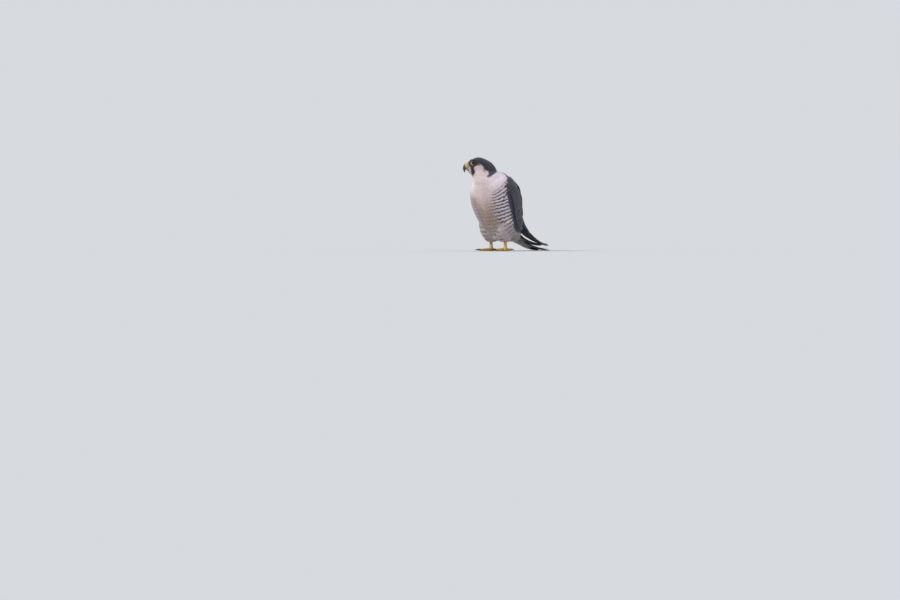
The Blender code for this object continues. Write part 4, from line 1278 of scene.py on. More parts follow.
def make_cere():
    """The waxy skin over the bill's root, with round nostrils that hold a small cone."""
    rows = spline(BILL_RINGS[:2], np.linspace(0, 1, 26))
    rings = [bill_ring(row, 64) for row in rows]
    swell = np.sin(np.linspace(0.15, math.pi * 0.92, len(rows))) * 0.55
    centres = [ring.mean(axis=0) for ring in rings]
    rings = [c + (ring - c) * (1 + s / 8) for ring, c, s in zip(rings, centres, swell)]
    cere = loft("cere_skin", rings)
    points = bird_points(cere)
    forward, left, up = head_place(points)
    away = np.hypot(forward - NOSTRIL[0], up - NOSTRIL[1])
    side = np.abs(left) > 4
    hollow = smooth(1.75, 1.05, away) * 1.5 - smooth(0.75, 0.1, away) * 1.2
    rim = bell(away, 1.9, 0.45) * 0.28
    crease = bell(up, CERE_CREASE, 0.5) * 0.35
    move = np.where(side, rim - hollow, 0) - crease * side
    move_vertices(cere.data, placed(points + normals_of(cere.data) * move[:, None]))
    # Painted shade in the nostrils' hollows and along the crease that ends the cere
    attribute(cere, "crease", "FLOAT", np.where(side, smooth(1.7, 1.0, away), 0) + crease * side)
    return cere


def make_bill():
    """The hooked upper bill with its tooth, and the lower bill."""
    rows = spline(BILL_RINGS[1:], np.linspace(0, 1, 70))
    upper = loft("bill_upper_horn", [bill_ring(row, 56) for row in rows])
    points = bird_points(upper)
    forward, left, up = head_place(points)
    edge = np.abs(left) > 1.2
    tooth = bell(forward, 41.4, 1.15) * smooth(-8.4, -10.6, up) * edge
    notch = bell(forward, 43.6, 0.8) * smooth(-9.0, -11.0, up) * edge
    growth = np.sin(np.hypot(forward - 30, up) * 2.2) * 0.035
    points = points - UP * (tooth * 1.9)[:, None] + UP * (notch * 0.6)[:, None]
    move_vertices(upper.data, placed(points + normals_of(upper.data) * growth[:, None]))
    lower_rows = spline(LOWER_BILL_RINGS, np.linspace(0, 1, 30))
    lower = loft("bill_lower_horn", [bill_ring(row, 40) for row in lower_rows])
    bill_share(upper, 5, 20)
    bill_share(lower, 9, 18)
    return upper, lower


def make_gape(side):
    """The soft yellow edge of the mouth, back from the bill."""
    rings = []
    first, last = np.array(GAPE_LINE)
    for share in np.linspace(0, 1, 22):
        forward, rise = first + (last - first) * share
        out = read_off(GAPE_OUT, forward)
        radius = 0.8 * math.sqrt(1 - 0.9 * (2 * share - 1) ** 2)
        middle = at_head(forward, side * out, rise)
        rings.append(oval(middle, LEFT, UP, radius * 1.3, radius * 0.8, radius, 10))
    return loft("gape", rings)


def eye_frame(side):
    """Middle of an eyeball, and the ways out of it, across it and up it."""
    centre, aim = eye_place(side)
    across = unit(np.cross(UP, aim))
    return centre - aim * EYE_SUNK, aim, across, np.cross(aim, across)


def make_eye(side, name):
    """An eyeball with a slight bulge over its iris."""
    centre, aim, across, up = eye_frame(side)
    rings = []
    for angle in np.linspace(math.pi * 0.995, math.pi * 0.005, 40):
        bulge = 0.30 * smooth(0.75, 0.35, angle)
        radius = EYE_RADIUS + bulge
        middle = centre + aim * radius * math.cos(angle)
        rings.append(oval(middle, across, up, *(radius * math.sin(angle),) * 3, 48))
    eye = loft(f"eyeball_{name}", rings)
    angle = np.degrees(np.arccos(np.clip(unit(bird_points(eye) - centre) @ aim, -1, 1)))
    attribute(eye, "angle", "FLOAT", angle)
    return eye


# The bare ring round an eye from the rim of its lids to its hidden back: radius, height out of the
# eyeball's middle, and how dark the crease is there, as painted shade at the lids' rims and where
# the ring slips under the feathers
LID_PROFILE = (
    (5.30, 4.05, 0.9), (5.34, 4.26, 0.45), (5.42, 4.36, 0), (5.54, 4.32, 0), (5.66, 4.14, 0.1),
    (5.76, 3.7, 0.3), (5.85, 2.7, 0.5), (6.0, 0.6, 0.5), (5.6, 0.0, 0.5), (4.8, 2.2, 0.9),
)


def make_lids(side, name):
    """The bare ring of skin round an eye, wider ahead of it, with its upper lid drawn down."""
    centre, aim, across, up = eye_frame(side)
    ahead_sign = np.sign(across @ FORWARD)
    turns = np.linspace(0, 2 * math.pi, 72, endpoint=False)
    count = len(LID_PROFILE)
    points, faces = [], []
    for row, turn in enumerate(turns):
        c, s = math.cos(turn), math.sin(turn)
        front = max(0.0, RING_AHEAD * c * ahead_sign - RING_DOWN * s)
        lid = max(0.0, s) ** 2
        wrinkle = 0.05 * math.sin(turn * 19) + 0.03 * math.sin(turn * 31)
        for k, (radius, out, _) in enumerate(LID_PROFILE):
            fold = wrinkle if 1 <= k <= 5 else 0
            widening = 2.5 * front ** 1.3 * (k - 1) / 5 if 2 <= k <= 7 else 0
            wide = radius + widening - lid * (1 if k < 3 else 0.8) + fold
            rise = out + (0.25 * lid if k < 4 else 0) + fold + 0.8 * front * (2 < k < 7)
            points.append(centre + aim * rise + (across * c + up * s) * wide)
            here, after = row * count, (row + 1) % len(turns) * count
            j = (k + 1) % count
            faces.append((here + k, here + j, after + j, after + k))
    return faced_out(new_object(f"lids_{name}", np.array(points), faces))


def lid_creases(lids, side):
    """How dark the bare ring is: painted shade at its rims and above the eye, under the brow, and darker
    behind the eye too.
    """
    centre, _, across, up = eye_frame(side)
    widest = RING_AHEAD * across * np.sign(across @ FORWARD) - RING_DOWN * up
    offset = unit(bird_points(lids) - centre)
    dull = 0.62 + 0.3 * smooth(0.2, 0.8, offset @ up)
    dull = (1 - smooth(0.0, 0.55, offset @ widest)) * dull
    rim = [dark for _, _, dark in LID_PROFILE]
    return np.maximum(np.tile(rim, len(offset) // len(rim)), dull)


def round_eye(points, side):
    """How far each point is ahead of an eye, above it, away from its axis and out along it."""
    centre, aim, across, up = eye_frame(side)
    offset = points - centre
    ahead = offset @ (across * np.sign(across @ FORWARD))
    return ahead, offset @ up, np.hypot(offset @ across, offset @ up), offset @ aim


def level_rings(rows, side):
    """Round rings of a leg, from rows of rise and radius."""
    rings = []
    for rise, radius in rows:
        centre = np.array([side * FOOT_SIDE, FOOT_BACK, rise])
        rings.append(oval(centre, X_AXIS, -Y_AXIS, radius, radius, radius, 32))
    return rings


# Height of a scute of the bare leg in millimetres, and scutes in a radian round it
SCUTE = 1.9
SCUTES_ROUND = 2.2

# A toe's axis over the floor as a share of its radius, its plates' length, and its ridges' pitch
TOE_RISE = 1.02
PLATE = 1.75
RIDGES = 5.1

# Bend of a claw from its root to its tip in degrees, and its length in radii of that bend
CLAW_BEND = (-25, 50)
CLAW_REACH = 1.19


def make_tarsus(side):
    """The bare lower leg with its scutes, and the ball of the foot."""
    rises = np.linspace(0, TARSUS_RINGS[-1][0], 60)
    table = np.array(TARSUS_RINGS)
    radii = np.interp(rises, table[:, 0], table[:, 1])
    leg = loft("leg", level_rings(np.stack([rises, radii], 1), side))
    points = bird_points(leg)
    angle = np.arctan2(points[:, 1] - FOOT_BACK, points[:, 0] - side * FOOT_SIDE)
    row = points[:, 2] / SCUTE
    column = angle * SCUTES_ROUND + 0.5 * (np.floor(row) % 2)
    seam = np.maximum(np.abs(row % 1 - 0.5), np.abs(column % 1 - 0.5)) * 2
    groove = smooth(0.72, 1.0, seam) * smooth(1.0, 3.0, points[:, 2])
    move_vertices(leg.data, placed(points - normals_of(leg.data) * (groove * 0.22)[:, None]))
    # Painted shade in the grooves between the scutes
    attribute(leg, "crease", "FLOAT", groove * 0.7)
    return leg


def toe_frame(side, heading):
    """Where a toe starts on the floor, and the ways ahead, across and up."""
    heading = math.radians(heading)
    ahead = np.array([side * math.sin(heading), -math.cos(heading), 0])
    return np.array([side * FOOT_SIDE, FOOT_BACK, 0]), ahead, np.cross(ahead, Z_AXIS), Z_AXIS


def make_toe(side, toe):
    """A toe with plates across its top and round pads under it, flat where they rest."""
    name, heading, length, radius, _ = toe
    start, ahead, across, up = toe_frame(side, heading)
    joints = 2 if name == "hind" else 3
    steps = int((length - 4) / 0.36)
    count = 22
    rings, creases = [], []
    for share in np.linspace(0, 1, steps + 1):
        pad = 0.5 - 0.5 * math.cos(2 * math.pi * share * joints)
        r = radius * (1 - 0.26 * share)
        reach = 2.5 + (length - 2.5) * share
        end = math.sqrt(max(0.0, 1 - max(0.0, (share - 0.93) / 0.07) ** 2)) * 0.35 + 0.65
        plate = (reach / PLATE) % 1
        groove = smooth(0.70, 0.97, plate) * smooth(1.0, 0.97, plate) * 4
        ridge = 0.22 * math.sin(math.pi * min(1, plate * 1.15))
        width = r * (0.92 + 0.10 * pad) * end
        low = r * (0.86 + 0.42 * pad) * end
        middle = start + ahead * reach + up * r * TOE_RISE
        ring = oval(middle, across, up, width, width, low, count)
        height = (ring - start) @ up - r * TOE_RISE
        top = smooth(-0.1 * r, 0.5 * r, height)
        outward = unit(ring - middle)
        ring = ring + outward * ((ridge - 0.12) * top)[:, None]
        bumps = 0.10 * np.sin(reach * RIDGES) * np.cos(np.arange(count) * 1.9) * (1 - top)
        ring = ring + outward * bumps[:, None]
        ring[:, 2] = np.maximum(ring[:, 2], 0.02)
        rings.append(ring)
        # Painted shade in the grooves between the plates, and under the toe along its pads' ridges
        under = 0.25 * (1 - top) * (0.5 + 0.5 * np.sin(reach * RIDGES))
        creases.append(np.clip(groove * top, 0, 1) * 0.8 + under)
    made = loft(f"toe_{name}", rings)
    attribute(made, "crease", "FLOAT", np.concatenate(creases))
    return made


def make_claw(side, toe):
    """A curved tapering claw off the end of a toe."""
    _, heading, length, radius, claw = toe
    start, ahead, across, up = toe_frame(side, heading)
    end_radius = radius * 0.74
    turn = claw / CLAW_REACH
    first, last = np.radians(CLAW_BEND)
    rings = []
    for share in np.linspace(0, 1, 26):
        bend = first + (last - first) * share
        reach = length - 0.7 + turn * (math.sin(bend) - math.sin(first))
        rise = end_radius * 1.05 + turn * (math.cos(bend) - math.cos(first))
        r = end_radius * (0.74 * (1 - share) ** 0.75 + 0.05)
        normal = up * math.cos(bend * share) + ahead * math.sin(bend * share)
        ring = oval(start + ahead * reach + up * rise, across, normal, r * 0.78, r, r * 0.92, 18)
        ring[:, 2] = np.maximum(ring[:, 2], 0.05)
        rings.append(ring)
    return loft("claw", rings)


# Shader groups

def new_group(name, inputs, outputs):
    """An empty shader node group with named float inputs and outputs."""
    group = bpy.data.node_groups.new(name, "ShaderNodeTree")
    for label, value in inputs:
        socket = group.interface.new_socket(label, in_out="INPUT", socket_type="NodeSocketFloat")
        socket.default_value = value
    for label in outputs:
        group.interface.new_socket(label, in_out="OUTPUT", socket_type="NodeSocketFloat")
    return group, group.nodes.new("NodeGroupInput"), group.nodes.new("NodeGroupOutput")


def put(tree, socket, value):
    """Links another node's output to a socket, or sets the socket to a value."""
    if isinstance(value, bpy.types.NodeSocket):
        tree.links.new(value, socket)
    else:
        socket.default_value = value


def node(tree, kind, inputs=(), **settings):
    """A shader node with its settings and inputs, which are values or other nodes' outputs."""
    made = tree.nodes.new(kind)
    for key, value in settings.items():
        setattr(made, key, value)
    for key, value in dict(inputs).items():
        put(tree, made.inputs[key], value)
    return made


def sums(tree, operation, first, second=0.0, third=0.0, clamp=False):
    """The output of a maths node."""
    made = node(tree, "ShaderNodeMath", {0: first, 1: second, 2: third}, operation=operation)
    made.use_clamp = clamp
    return made.outputs[0]


def product(tree, first, *others):
    """The output of maths nodes that multiply several values."""
    for value in others:
        first = sums(tree, "MULTIPLY", first, value)
    return first


def ramp(tree, value, low, high):
    """0 at low, 1 at high and a smooth rise between, for a value in a shader."""
    made = node(tree, "ShaderNodeMapRange", {"Value": value, "From Min": low, "From Max": high},
                interpolation_type="SMOOTHSTEP")
    return made.outputs["Result"]


def mixed(tree, share, first, second, blend="MIX"):
    """Two colours mixed by a share."""
    made = node(tree, "ShaderNodeMix", data_type="RGBA", blend_type=blend)
    for index, value in ((0, share), (6, first), (7, second)):
        plain = isinstance(value, (int, float, bpy.types.NodeSocket))
        put(tree, made.inputs[index], value if plain else (*value, 1))
    return made.outputs[2]


def noise(tree, scale, detail):
    """Noise fixed to the object."""
    coordinate = node(tree, "ShaderNodeTexCoord").outputs["Object"]
    made = node(tree, "ShaderNodeTexNoise", {"Vector": coordinate, "Scale": scale, "Detail": detail})
    return made.outputs["Fac"]


def reading(tree, name, output):
    """One output of a node that reads an attribute of the mesh."""
    made = node(tree, "ShaderNodeAttribute", attribute_type="GEOMETRY", attribute_name=name)
    return made.outputs[output]


def three_of(tree, name):
    """The three values of a vector attribute."""
    return node(tree, "ShaderNodeSeparateXYZ", {0: reading(tree, name, "Vector")}).outputs


def bars_group():
    """Dark bars across feathers: one wherever the phase passes a half."""
    inputs = (("Phase", 0), ("Across", 0), ("Strength", 1), ("Width", 0.4), ("Reach", 1))
    group, given, result = new_group("feather_bars", inputs, ["Mask"])
    wander = sums(group, "MULTIPLY_ADD", noise(group, 420, 2), 0.36, -0.18)
    phase = sums(group, "ADD", given.outputs["Phase"], wander)
    away = sums(group, "ABSOLUTE", sums(group, "SUBTRACT", sums(group, "FRACT", phase), 0.5))
    half = sums(group, "MULTIPLY", given.outputs["Width"], 0.5)
    bar = ramp(group, away, sums(group, "ADD", half, 0.07), sums(group, "SUBTRACT", half, 0.06))
    side = sums(group, "ABSOLUTE", given.outputs["Across"])
    reach = given.outputs["Reach"]
    spread = ramp(group, side, sums(group, "ADD", reach, 0.12), sums(group, "SUBTRACT", reach, 0.16))
    mask = sums(group, "MULTIPLY", product(group, bar, spread), given.outputs["Strength"], clamp=True)
    group.links.new(mask, result.inputs["Mask"])
    return group


def barbs_group():
    """The fine barbs that slant from a feather's shaft, as a height, and the shaft itself."""
    inputs = (("Along", 0), ("Across", 0), ("Spacing", 0.5))
    group, given, result = new_group("feather_barbs", inputs, ["Height", "Shaft"])
    side = sums(group, "ABSOLUTE", given.outputs["Across"])
    slant = sums(group, "SUBTRACT", given.outputs["Along"], sums(group, "MULTIPLY", side, 0.9))
    turn = sums(group, "DIVIDE", slant, given.outputs["Spacing"])
    turn = sums(group, "ADD", turn, sums(group, "MULTIPLY", noise(group, 900, 1), 1.4))
    wave = sums(group, "MULTIPLY_ADD", sums(group, "SINE", sums(group, "MULTIPLY", turn, 6.283)), 0.5, 0.5)
    group.links.new(wave, result.inputs["Height"])
    group.links.new(ramp(group, side, 0.42, 0.14), result.inputs["Shaft"])
    return group


def fringe_group():
    """The thin pale edge of a feather."""
    inputs = (("Across", 0), ("Tip", 0), ("Width", 0.1))
    group, given, result = new_group("feather_fringe", inputs, ["Mask"])
    side = sums(group, "ABSOLUTE", given.outputs["Across"])
    start = sums(group, "SUBTRACT", 1.0, given.outputs["Width"])
    edge = ramp(group, side, start, 1.0)
    tip = ramp(group, given.outputs["Tip"], start, 1.0)
    group.links.new(sums(group, "MAXIMUM", edge, tip), result.inputs["Mask"])
    return group


def mottle_group():
    """Soft uneven tone, around one."""
    group, given, result = new_group("mottle", (("Scale", 80), ("Depth", 0.1)), ["Tone"])
    around_zero = sums(group, "SUBTRACT", noise(group, given.outputs["Scale"], 3), 0.5)
    tone = product(group, around_zero, given.outputs["Depth"])
    group.links.new(sums(group, "MULTIPLY_ADD", tone, 2.0, 1.0), result.inputs["Tone"])
    return group


# The shader groups by name
GROUPS = {}


def grouped(tree, name, **inputs):
    """The outputs of a shader group with these inputs."""
    return node(tree, "ShaderNodeGroup", inputs, node_tree=GROUPS[name]).outputs


def new_material(name, roughness, **constants):
    """A material whose Principled shader holds its constants on its own sockets."""
    made = bpy.data.materials.new(name)
    made.use_nodes = True
    shader = made.node_tree.nodes["Principled BSDF"]
    shader.inputs["Roughness"].default_value = roughness
    for label, value in constants.items():
        shader.inputs[label.replace("_", " ")].default_value = value
    return made, made.node_tree, shader


def scaled(tree, colour, factor):
    """A colour made darker or lighter by a factor."""
    grey = node(tree, "ShaderNodeCombineColor", {0: factor, 1: factor, 2: factor}).outputs[0]
    return mixed(tree, 1.0, colour, grey, "MULTIPLY")


def relief(tree, shader, height, strength, distance):
    """Bumps from a height, over a distance in millimetres."""
    bump = node(tree, "ShaderNodeBump", {
        "Height": height, "Strength": strength, "Distance": distance * MM})
    tree.links.new(bump.outputs["Normal"], shader.inputs["Normal"])


def plumage_material(name, colours, spacing, fringe_width, fringe_share, shaft_share, roughness):
    """Feathers that read their colour, bars and own measures from the mesh."""
    made, tree, shader = new_material(name, roughness, Sheen_Weight=0.25, Sheen_Roughness=0.45)
    shader.inputs["Specular IOR Level"].default_value = 0.28
    mark, bar, local = (three_of(tree, name) for name in ("mark", "bar", "local"))
    dorsal = reading(tree, "dorsal", "Fac")
    ground = reading(tree, "ground", "Color")
    mask = grouped(tree, "bars", Phase=mark[0], Across=mark[1], Strength=bar[0], Width=bar[1],
                   Reach=bar[2])["Mask"]
    barbs = grouped(tree, "barbs", Along=local[0], Across=local[1], Spacing=spacing)
    fringe = grouped(tree, "fringe", Across=mark[1], Tip=local[2], Width=fringe_width)
    tone = grouped(tree, "mottle", Scale=90.0, Depth=0.16)["Tone"]
    own = sums(tree, "MULTIPLY_ADD", mark[2], 0.16, 0.92)
    # Painted shade: each feather darker towards its root, where the feathers over it hide it
    depth = sums(tree, "MULTIPLY_ADD", ramp(tree, local[2], 0.0, 0.6), 0.30, 0.70)
    comb = sums(tree, "MULTIPLY_ADD", barbs["Height"], 0.10, 0.95)
    colour = scaled(tree, ground, product(tree, tone, own, product(tree, depth, comb)))
    dark = mixed(tree, dorsal, colours.bar, colours.back_bar)
    colour = mixed(tree, mask, colour, dark)
    edge = product(tree, fringe["Mask"], dorsal, fringe_share)
    lighter = mixed(tree, 0.5, scaled(tree, ground, 1.9), colours.fringe)
    colour = mixed(tree, edge, colour, lighter)
    shaft = product(tree, barbs["Shaft"], dorsal, shaft_share)
    colour = mixed(tree, shaft, colour, colours.shaft)
    tree.links.new(colour, shader.inputs["Base Color"])
    relief(tree, shader, barbs["Height"], 0.35, 0.06)
    return made


def skin_material(name, colour, crease, roughness):
    """Bare yellow skin with fine grains, and painted shade in its creases."""
    made, tree, shader = new_material(
        name, roughness, Subsurface_Weight=0.12, Subsurface_Scale=0.001, Coat_Weight=0.12,
        Coat_Roughness=0.35)
    tone = grouped(tree, "mottle", Scale=160.0, Depth=0.28)["Tone"]
    groove = reading(tree, "crease", "Fac")
    shade = mixed(tree, groove, scaled(tree, colour, tone), crease)
    tree.links.new(shade, shader.inputs["Base Color"])
    coordinate = node(tree, "ShaderNodeTexCoord").outputs["Object"]
    cells = node(tree, "ShaderNodeTexVoronoi", {"Vector": coordinate, "Scale": 1500.0}).outputs["Distance"]
    relief(tree, shader, cells, 0.35, 0.10)
    return made


def horn_material(name, root, tip, roughness, low=0.25, high=0.85):
    """Horn that darkens towards its tip, with fine growth lines."""
    made, tree, shader = new_material(name, roughness, Coat_Weight=0.35, Coat_Roughness=0.12)
    share = reading(tree, "share", "Fac")
    uneven = sums(tree, "MULTIPLY_ADD", noise(tree, 300, 3), 0.24, -0.12)
    reach = ramp(tree, sums(tree, "ADD", share, uneven), low, high)
    colour = mixed(tree, reach, root, tip)
    tone = grouped(tree, "mottle", Scale=500.0, Depth=0.18)["Tone"]
    tree.links.new(scaled(tree, colour, tone), shader.inputs["Base Color"])
    relief(tree, shader, noise(tree, 1400, 2), 0.15, 0.05)
    return made


def eye_material(colours):
    """A dark brown iris round a black pupil, under a wet surface."""
    made, tree, shader = new_material("eye_glass", 0.03, IOR=1.42)
    angle = reading(tree, "angle", "Fac")
    streaks = sums(tree, "MULTIPLY_ADD", noise(tree, 1500, 2), 0.9, 0.55)
    iris = scaled(tree, colours.iris, streaks)
    colour = mixed(tree, ramp(tree, angle, 21.5, 23.5), (0.002, 0.002, 0.002), iris)
    colour = mixed(tree, ramp(tree, angle, 41, 47), colour, (0.006, 0.005, 0.005))
    tree.links.new(colour, shader.inputs["Base Color"])
    return made


def floor_material(colour):
    """Plain pale matt floor."""
    made, _, shader = new_material("studio_floor", 0.85)
    shader.inputs["Base Color"].default_value = (*colour, 1)
    shader.inputs["Specular IOR Level"].default_value = 0.0
    return made


# What a user may change

def length(name, words, value):
    return bpy.props.FloatProperty(name=name, description=words, default=value * MM, min=0.0, unit="LENGTH")


def colour(name, words, value):
    return bpy.props.FloatVectorProperty(
        name=name, description=words, default=value, subtype="COLOR", size=3, min=0.0, max=1.0)


class FalconSizes(bpy.types.PropertyGroup):
    """Sizes of the coat."""

    voxel: length("Skin grain", "Size of the cells that the skin is joined from", 1.7)
    head_coat: length("Head coat", "Depth of the feathers over the skin of the head", 1.5)
    body_coat: length("Body coat", "Depth of the feathers over the skin of the body", 3.2)
    wing_coat: length("Wing coat", "Depth of the feathers over the skin of the wings", 1.5)
    face_feather: length("Face feather", "Length of the smallest feathers, by the bill", 2.3)
    head_feather: length("Head feather", "Length of the feathers of the crown and cheeks", 3.6)
    breast_feather: length("Breast feather", "Length of the feathers of the upper breast", 8.2)
    belly_feather: length("Belly feather", "Length of the feathers of the belly and flanks", 10.2)
    back_feather: length("Back feather", "Length of the feathers of the mantle and rump", 11.0)
    thigh_feather: length("Thigh feather", "Length of the feathers of the thighs", 8.0)
    covert: length("Small covert", "Length of the smallest feathers of the wing", 8.0)


class FalconColours(bpy.types.PropertyGroup):
    """Colours of the plumage and the bare parts."""

    cheek: colour("Cheek", "White of the cheek and throat", (0.71, 0.585, 0.59))
    breast: colour("Breast", "Pale pinkish white of the upper breast", (0.615, 0.495, 0.50))
    belly: colour("Belly", "Greyish white of the belly and flanks", (0.50, 0.43, 0.43))
    hump: colour("Shoulder", "Clean white over the shoulder", (0.82, 0.72, 0.78))
    flank: colour("Flank", "Cool white between the bars of the flanks", (0.67, 0.59, 0.65))
    thigh: colour("Thigh", "Grey of the thighs", (0.43, 0.36, 0.37))
    buff: colour("Buff", "Warm tint in the middle of the belly", (0.32, 0.21, 0.165))
    bar: colour("Bars", "Dark bars of the underparts", (0.065, 0.052, 0.056))
    crown: colour("Crown", "Slate of the crown and hood", (0.047, 0.045, 0.066))
    moustache: colour("Moustache", "Blackish stripe below the eye", (0.040, 0.028, 0.030))
    ear_spot: colour("Ear spot", "Rusty spot behind the eye", (0.19, 0.115, 0.09))
    mantle: colour("Mantle", "Slate of the upper back", (0.068, 0.066, 0.095))
    rump: colour("Rump", "Paler blue grey of the rump", (0.17, 0.18, 0.23))
    back_bar: colour("Back bars", "Dark bars of the upperparts", (0.032, 0.031, 0.042))
    fringe: colour("Fringe", "Pale edges of the upperparts' feathers", (0.30, 0.29, 0.32))
    shaft: colour("Shaft", "Dark shafts of the feathers", (0.014, 0.013, 0.016))
    coverts: colour("Coverts", "Blue slate of the wing's coverts", (0.066, 0.065, 0.096))
    secondaries: colour("Secondaries", "Slate of the inner flight feathers", (0.045, 0.042, 0.054))
    primaries: colour("Primaries", "Blackish brown of the outer flight feathers", (0.030, 0.024, 0.026))
    tail: colour("Tail", "Grey of the tail", (0.14, 0.13, 0.14))
    tail_under: colour("Under tail", "White of the coverts under the tail", (0.50, 0.46, 0.44))
    skin: colour("Bare skin", "Yellow of the feet", (0.62, 0.40, 0.10))
    ring: colour("Eye ring", "Yellow of the cere and the ring round the eye", (0.53, 0.39, 0.14))
    # Painted shade: the colour laid into the creases of the bare skin of the feet, lids and cere
    crease: colour("Creases", "Between the scales of the feet", (0.30, 0.16, 0.045))
    bill_root: colour("Bill root", "Pale horn of the bill by the cere", (0.37, 0.34, 0.25))
    bill_tip: colour("Bill tip", "Dark tip of the bill", (0.025, 0.025, 0.030))
    claw: colour("Claws", "Black of the claws", (0.018, 0.017, 0.018))
    iris: colour("Iris", "Dark brown of the eye", (0.020, 0.009, 0.005))
    floor: colour("Floor", "Pale floor of the studio", (0.630, 0.6435, 0.6625))


def sizes():
    return bpy.context.scene.falcon_sizes


def colours():
    return bpy.context.scene.falcon_colours


# The skin as a surface, and the materials by name
MADE = {}


# Pieces

class FALCON_OT_skin(bpy.types.Operator):
    """One skin under the whole coat"""

    bl_idname = "falcon.skin"
    bl_label = "Skin"

    def execute(self, context):
        made = make_skin(sizes().voxel, sizes().head_coat, sizes().body_coat, sizes().wing_coat)
        MADE["hide"] = Hide(made)
        mark_skin(made, colours(), np.random.default_rng(SKIN_SEED))
        finish_piece(made, MADE["body"], FLESH)
        return {"FINISHED"}


def coat_sizes(points, region):
    """Length of the feathers rooted at each place."""
    station, _, _, _ = BODY.place(points)
    forward, _, _ = head_place(points)
    s = sizes()
    face, head, breast, belly, back, thigh, covert = (
        x / MM for x in (s.face_feather, s.head_feather, s.breast_feather, s.belly_feather,
                         s.back_feather, s.thigh_feather, s.covert))
    length = np.interp(station, (6, 36, 60, 110, 170, 230, 300),
                       (head * 1.15, head * 1.8, breast, belly, belly, belly * 0.9, belly * 0.8))
    behind = region == BACK
    length[behind] = np.interp(station, (20, 50, 90, 200, 300),
                               (head * 1.8, back * 0.8, back, back, back * 0.85))[behind]
    on_head = region == HEAD
    length[on_head] = np.interp(forward, (-44, -20, 0, 16, 25, 33),
                                (head * 1.4, head * 1.2, head, head * 0.85, face * 1.1, face))[on_head]
    legs = region == THIGH
    length[legs] = np.interp(points[:, 2], (18, 30, 50, 84),
                             (thigh * 0.6, thigh * 0.75, thigh, belly))[legs]
    wing, _, u, v = on_wing(points, region)
    edge = np.interp(v, (0, 0.15, 1), (0.66, 1.0, 1.25))
    length[wing] = covert * edge * np.interp(u, (0, 0.25, 0.6), (0.95, 1.15, 1.0))
    return length


# How far back the small feathers reach over the tail's root
COAT_END = 98

# Shares of the coat's depth that the roots and tips of its feathers stand at
COAT_HEIGHTS = {
    HEAD: (0.55, 0.80), NECK: (0.42, 0.80), BREAST: (0.66, 0.80), BACK: (0.66, 0.80),
    THIGH: (0.66, 0.80), WING: (0.60, 1.15),
}


def bare(points, region, normals):
    """True where no small feather grows: round the eyes, on the bill, and under the long feathers."""
    forward, _, _ = head_place(points)
    none = (forward > 33.6) & (region == HEAD)
    for side, _ in SIDES:
        ahead, above, away, out = round_eye(points, side)
        reach = 4.7 + 4.3 * smooth(0, 6, ahead) - 0.8 * smooth(0, 5, above)
        none |= (away < reach) & (out > -3)
    under_belly = (normals[:, 2] < -0.8) & (points[:, 2] < 32) & (points[:, 1] < 30)
    none |= under_belly
    none |= points[:, 1] > COAT_END
    wing, _, u, v = on_wing(points, region)
    none[wing[((u > 0.27) & (v > 0.20)) | (u > 0.585)]] = True
    return none


def wing_edges(points, region, normals):
    """Gives the rims of the wings' flesh to the breast and back. True on its hidden inner side."""
    wing, side, u, v = on_wing(points, region)
    # Cosine between the skin's normal and the way out of the wing
    facing = np.empty(len(wing))
    for sign, _ in SIDES:
        mine = side == sign
        _, out = wing_frame(u[mine], v[mine], sign)
        facing[mine] = (normals[wing][mine] * out).sum(1)
    rim = (facing < np.where(v < 0.5, -0.2, 0.45)) & (facing > -0.6)
    region[wing[rim & (v < 0.5)]] = BREAST
    region[wing[rim & (v >= 0.5)]] = BACK
    hidden = np.zeros(len(points), bool)
    hidden[wing[(facing <= -0.6) | (rim & (u > 0.5))]] = True
    return hidden


def brow_rise(points):
    """How much higher the feathers stand close round the eyes, so that they meet the lids."""
    rise = np.zeros(len(points))
    for side, _ in SIDES:
        ahead, _, away, out = round_eye(points, side)
        behind = 0.35 + 0.65 * smooth(3, -3, ahead)
        rise += 0.3 * smooth(11.0, 6.0, away) * (out > -4) * behind
    return rise


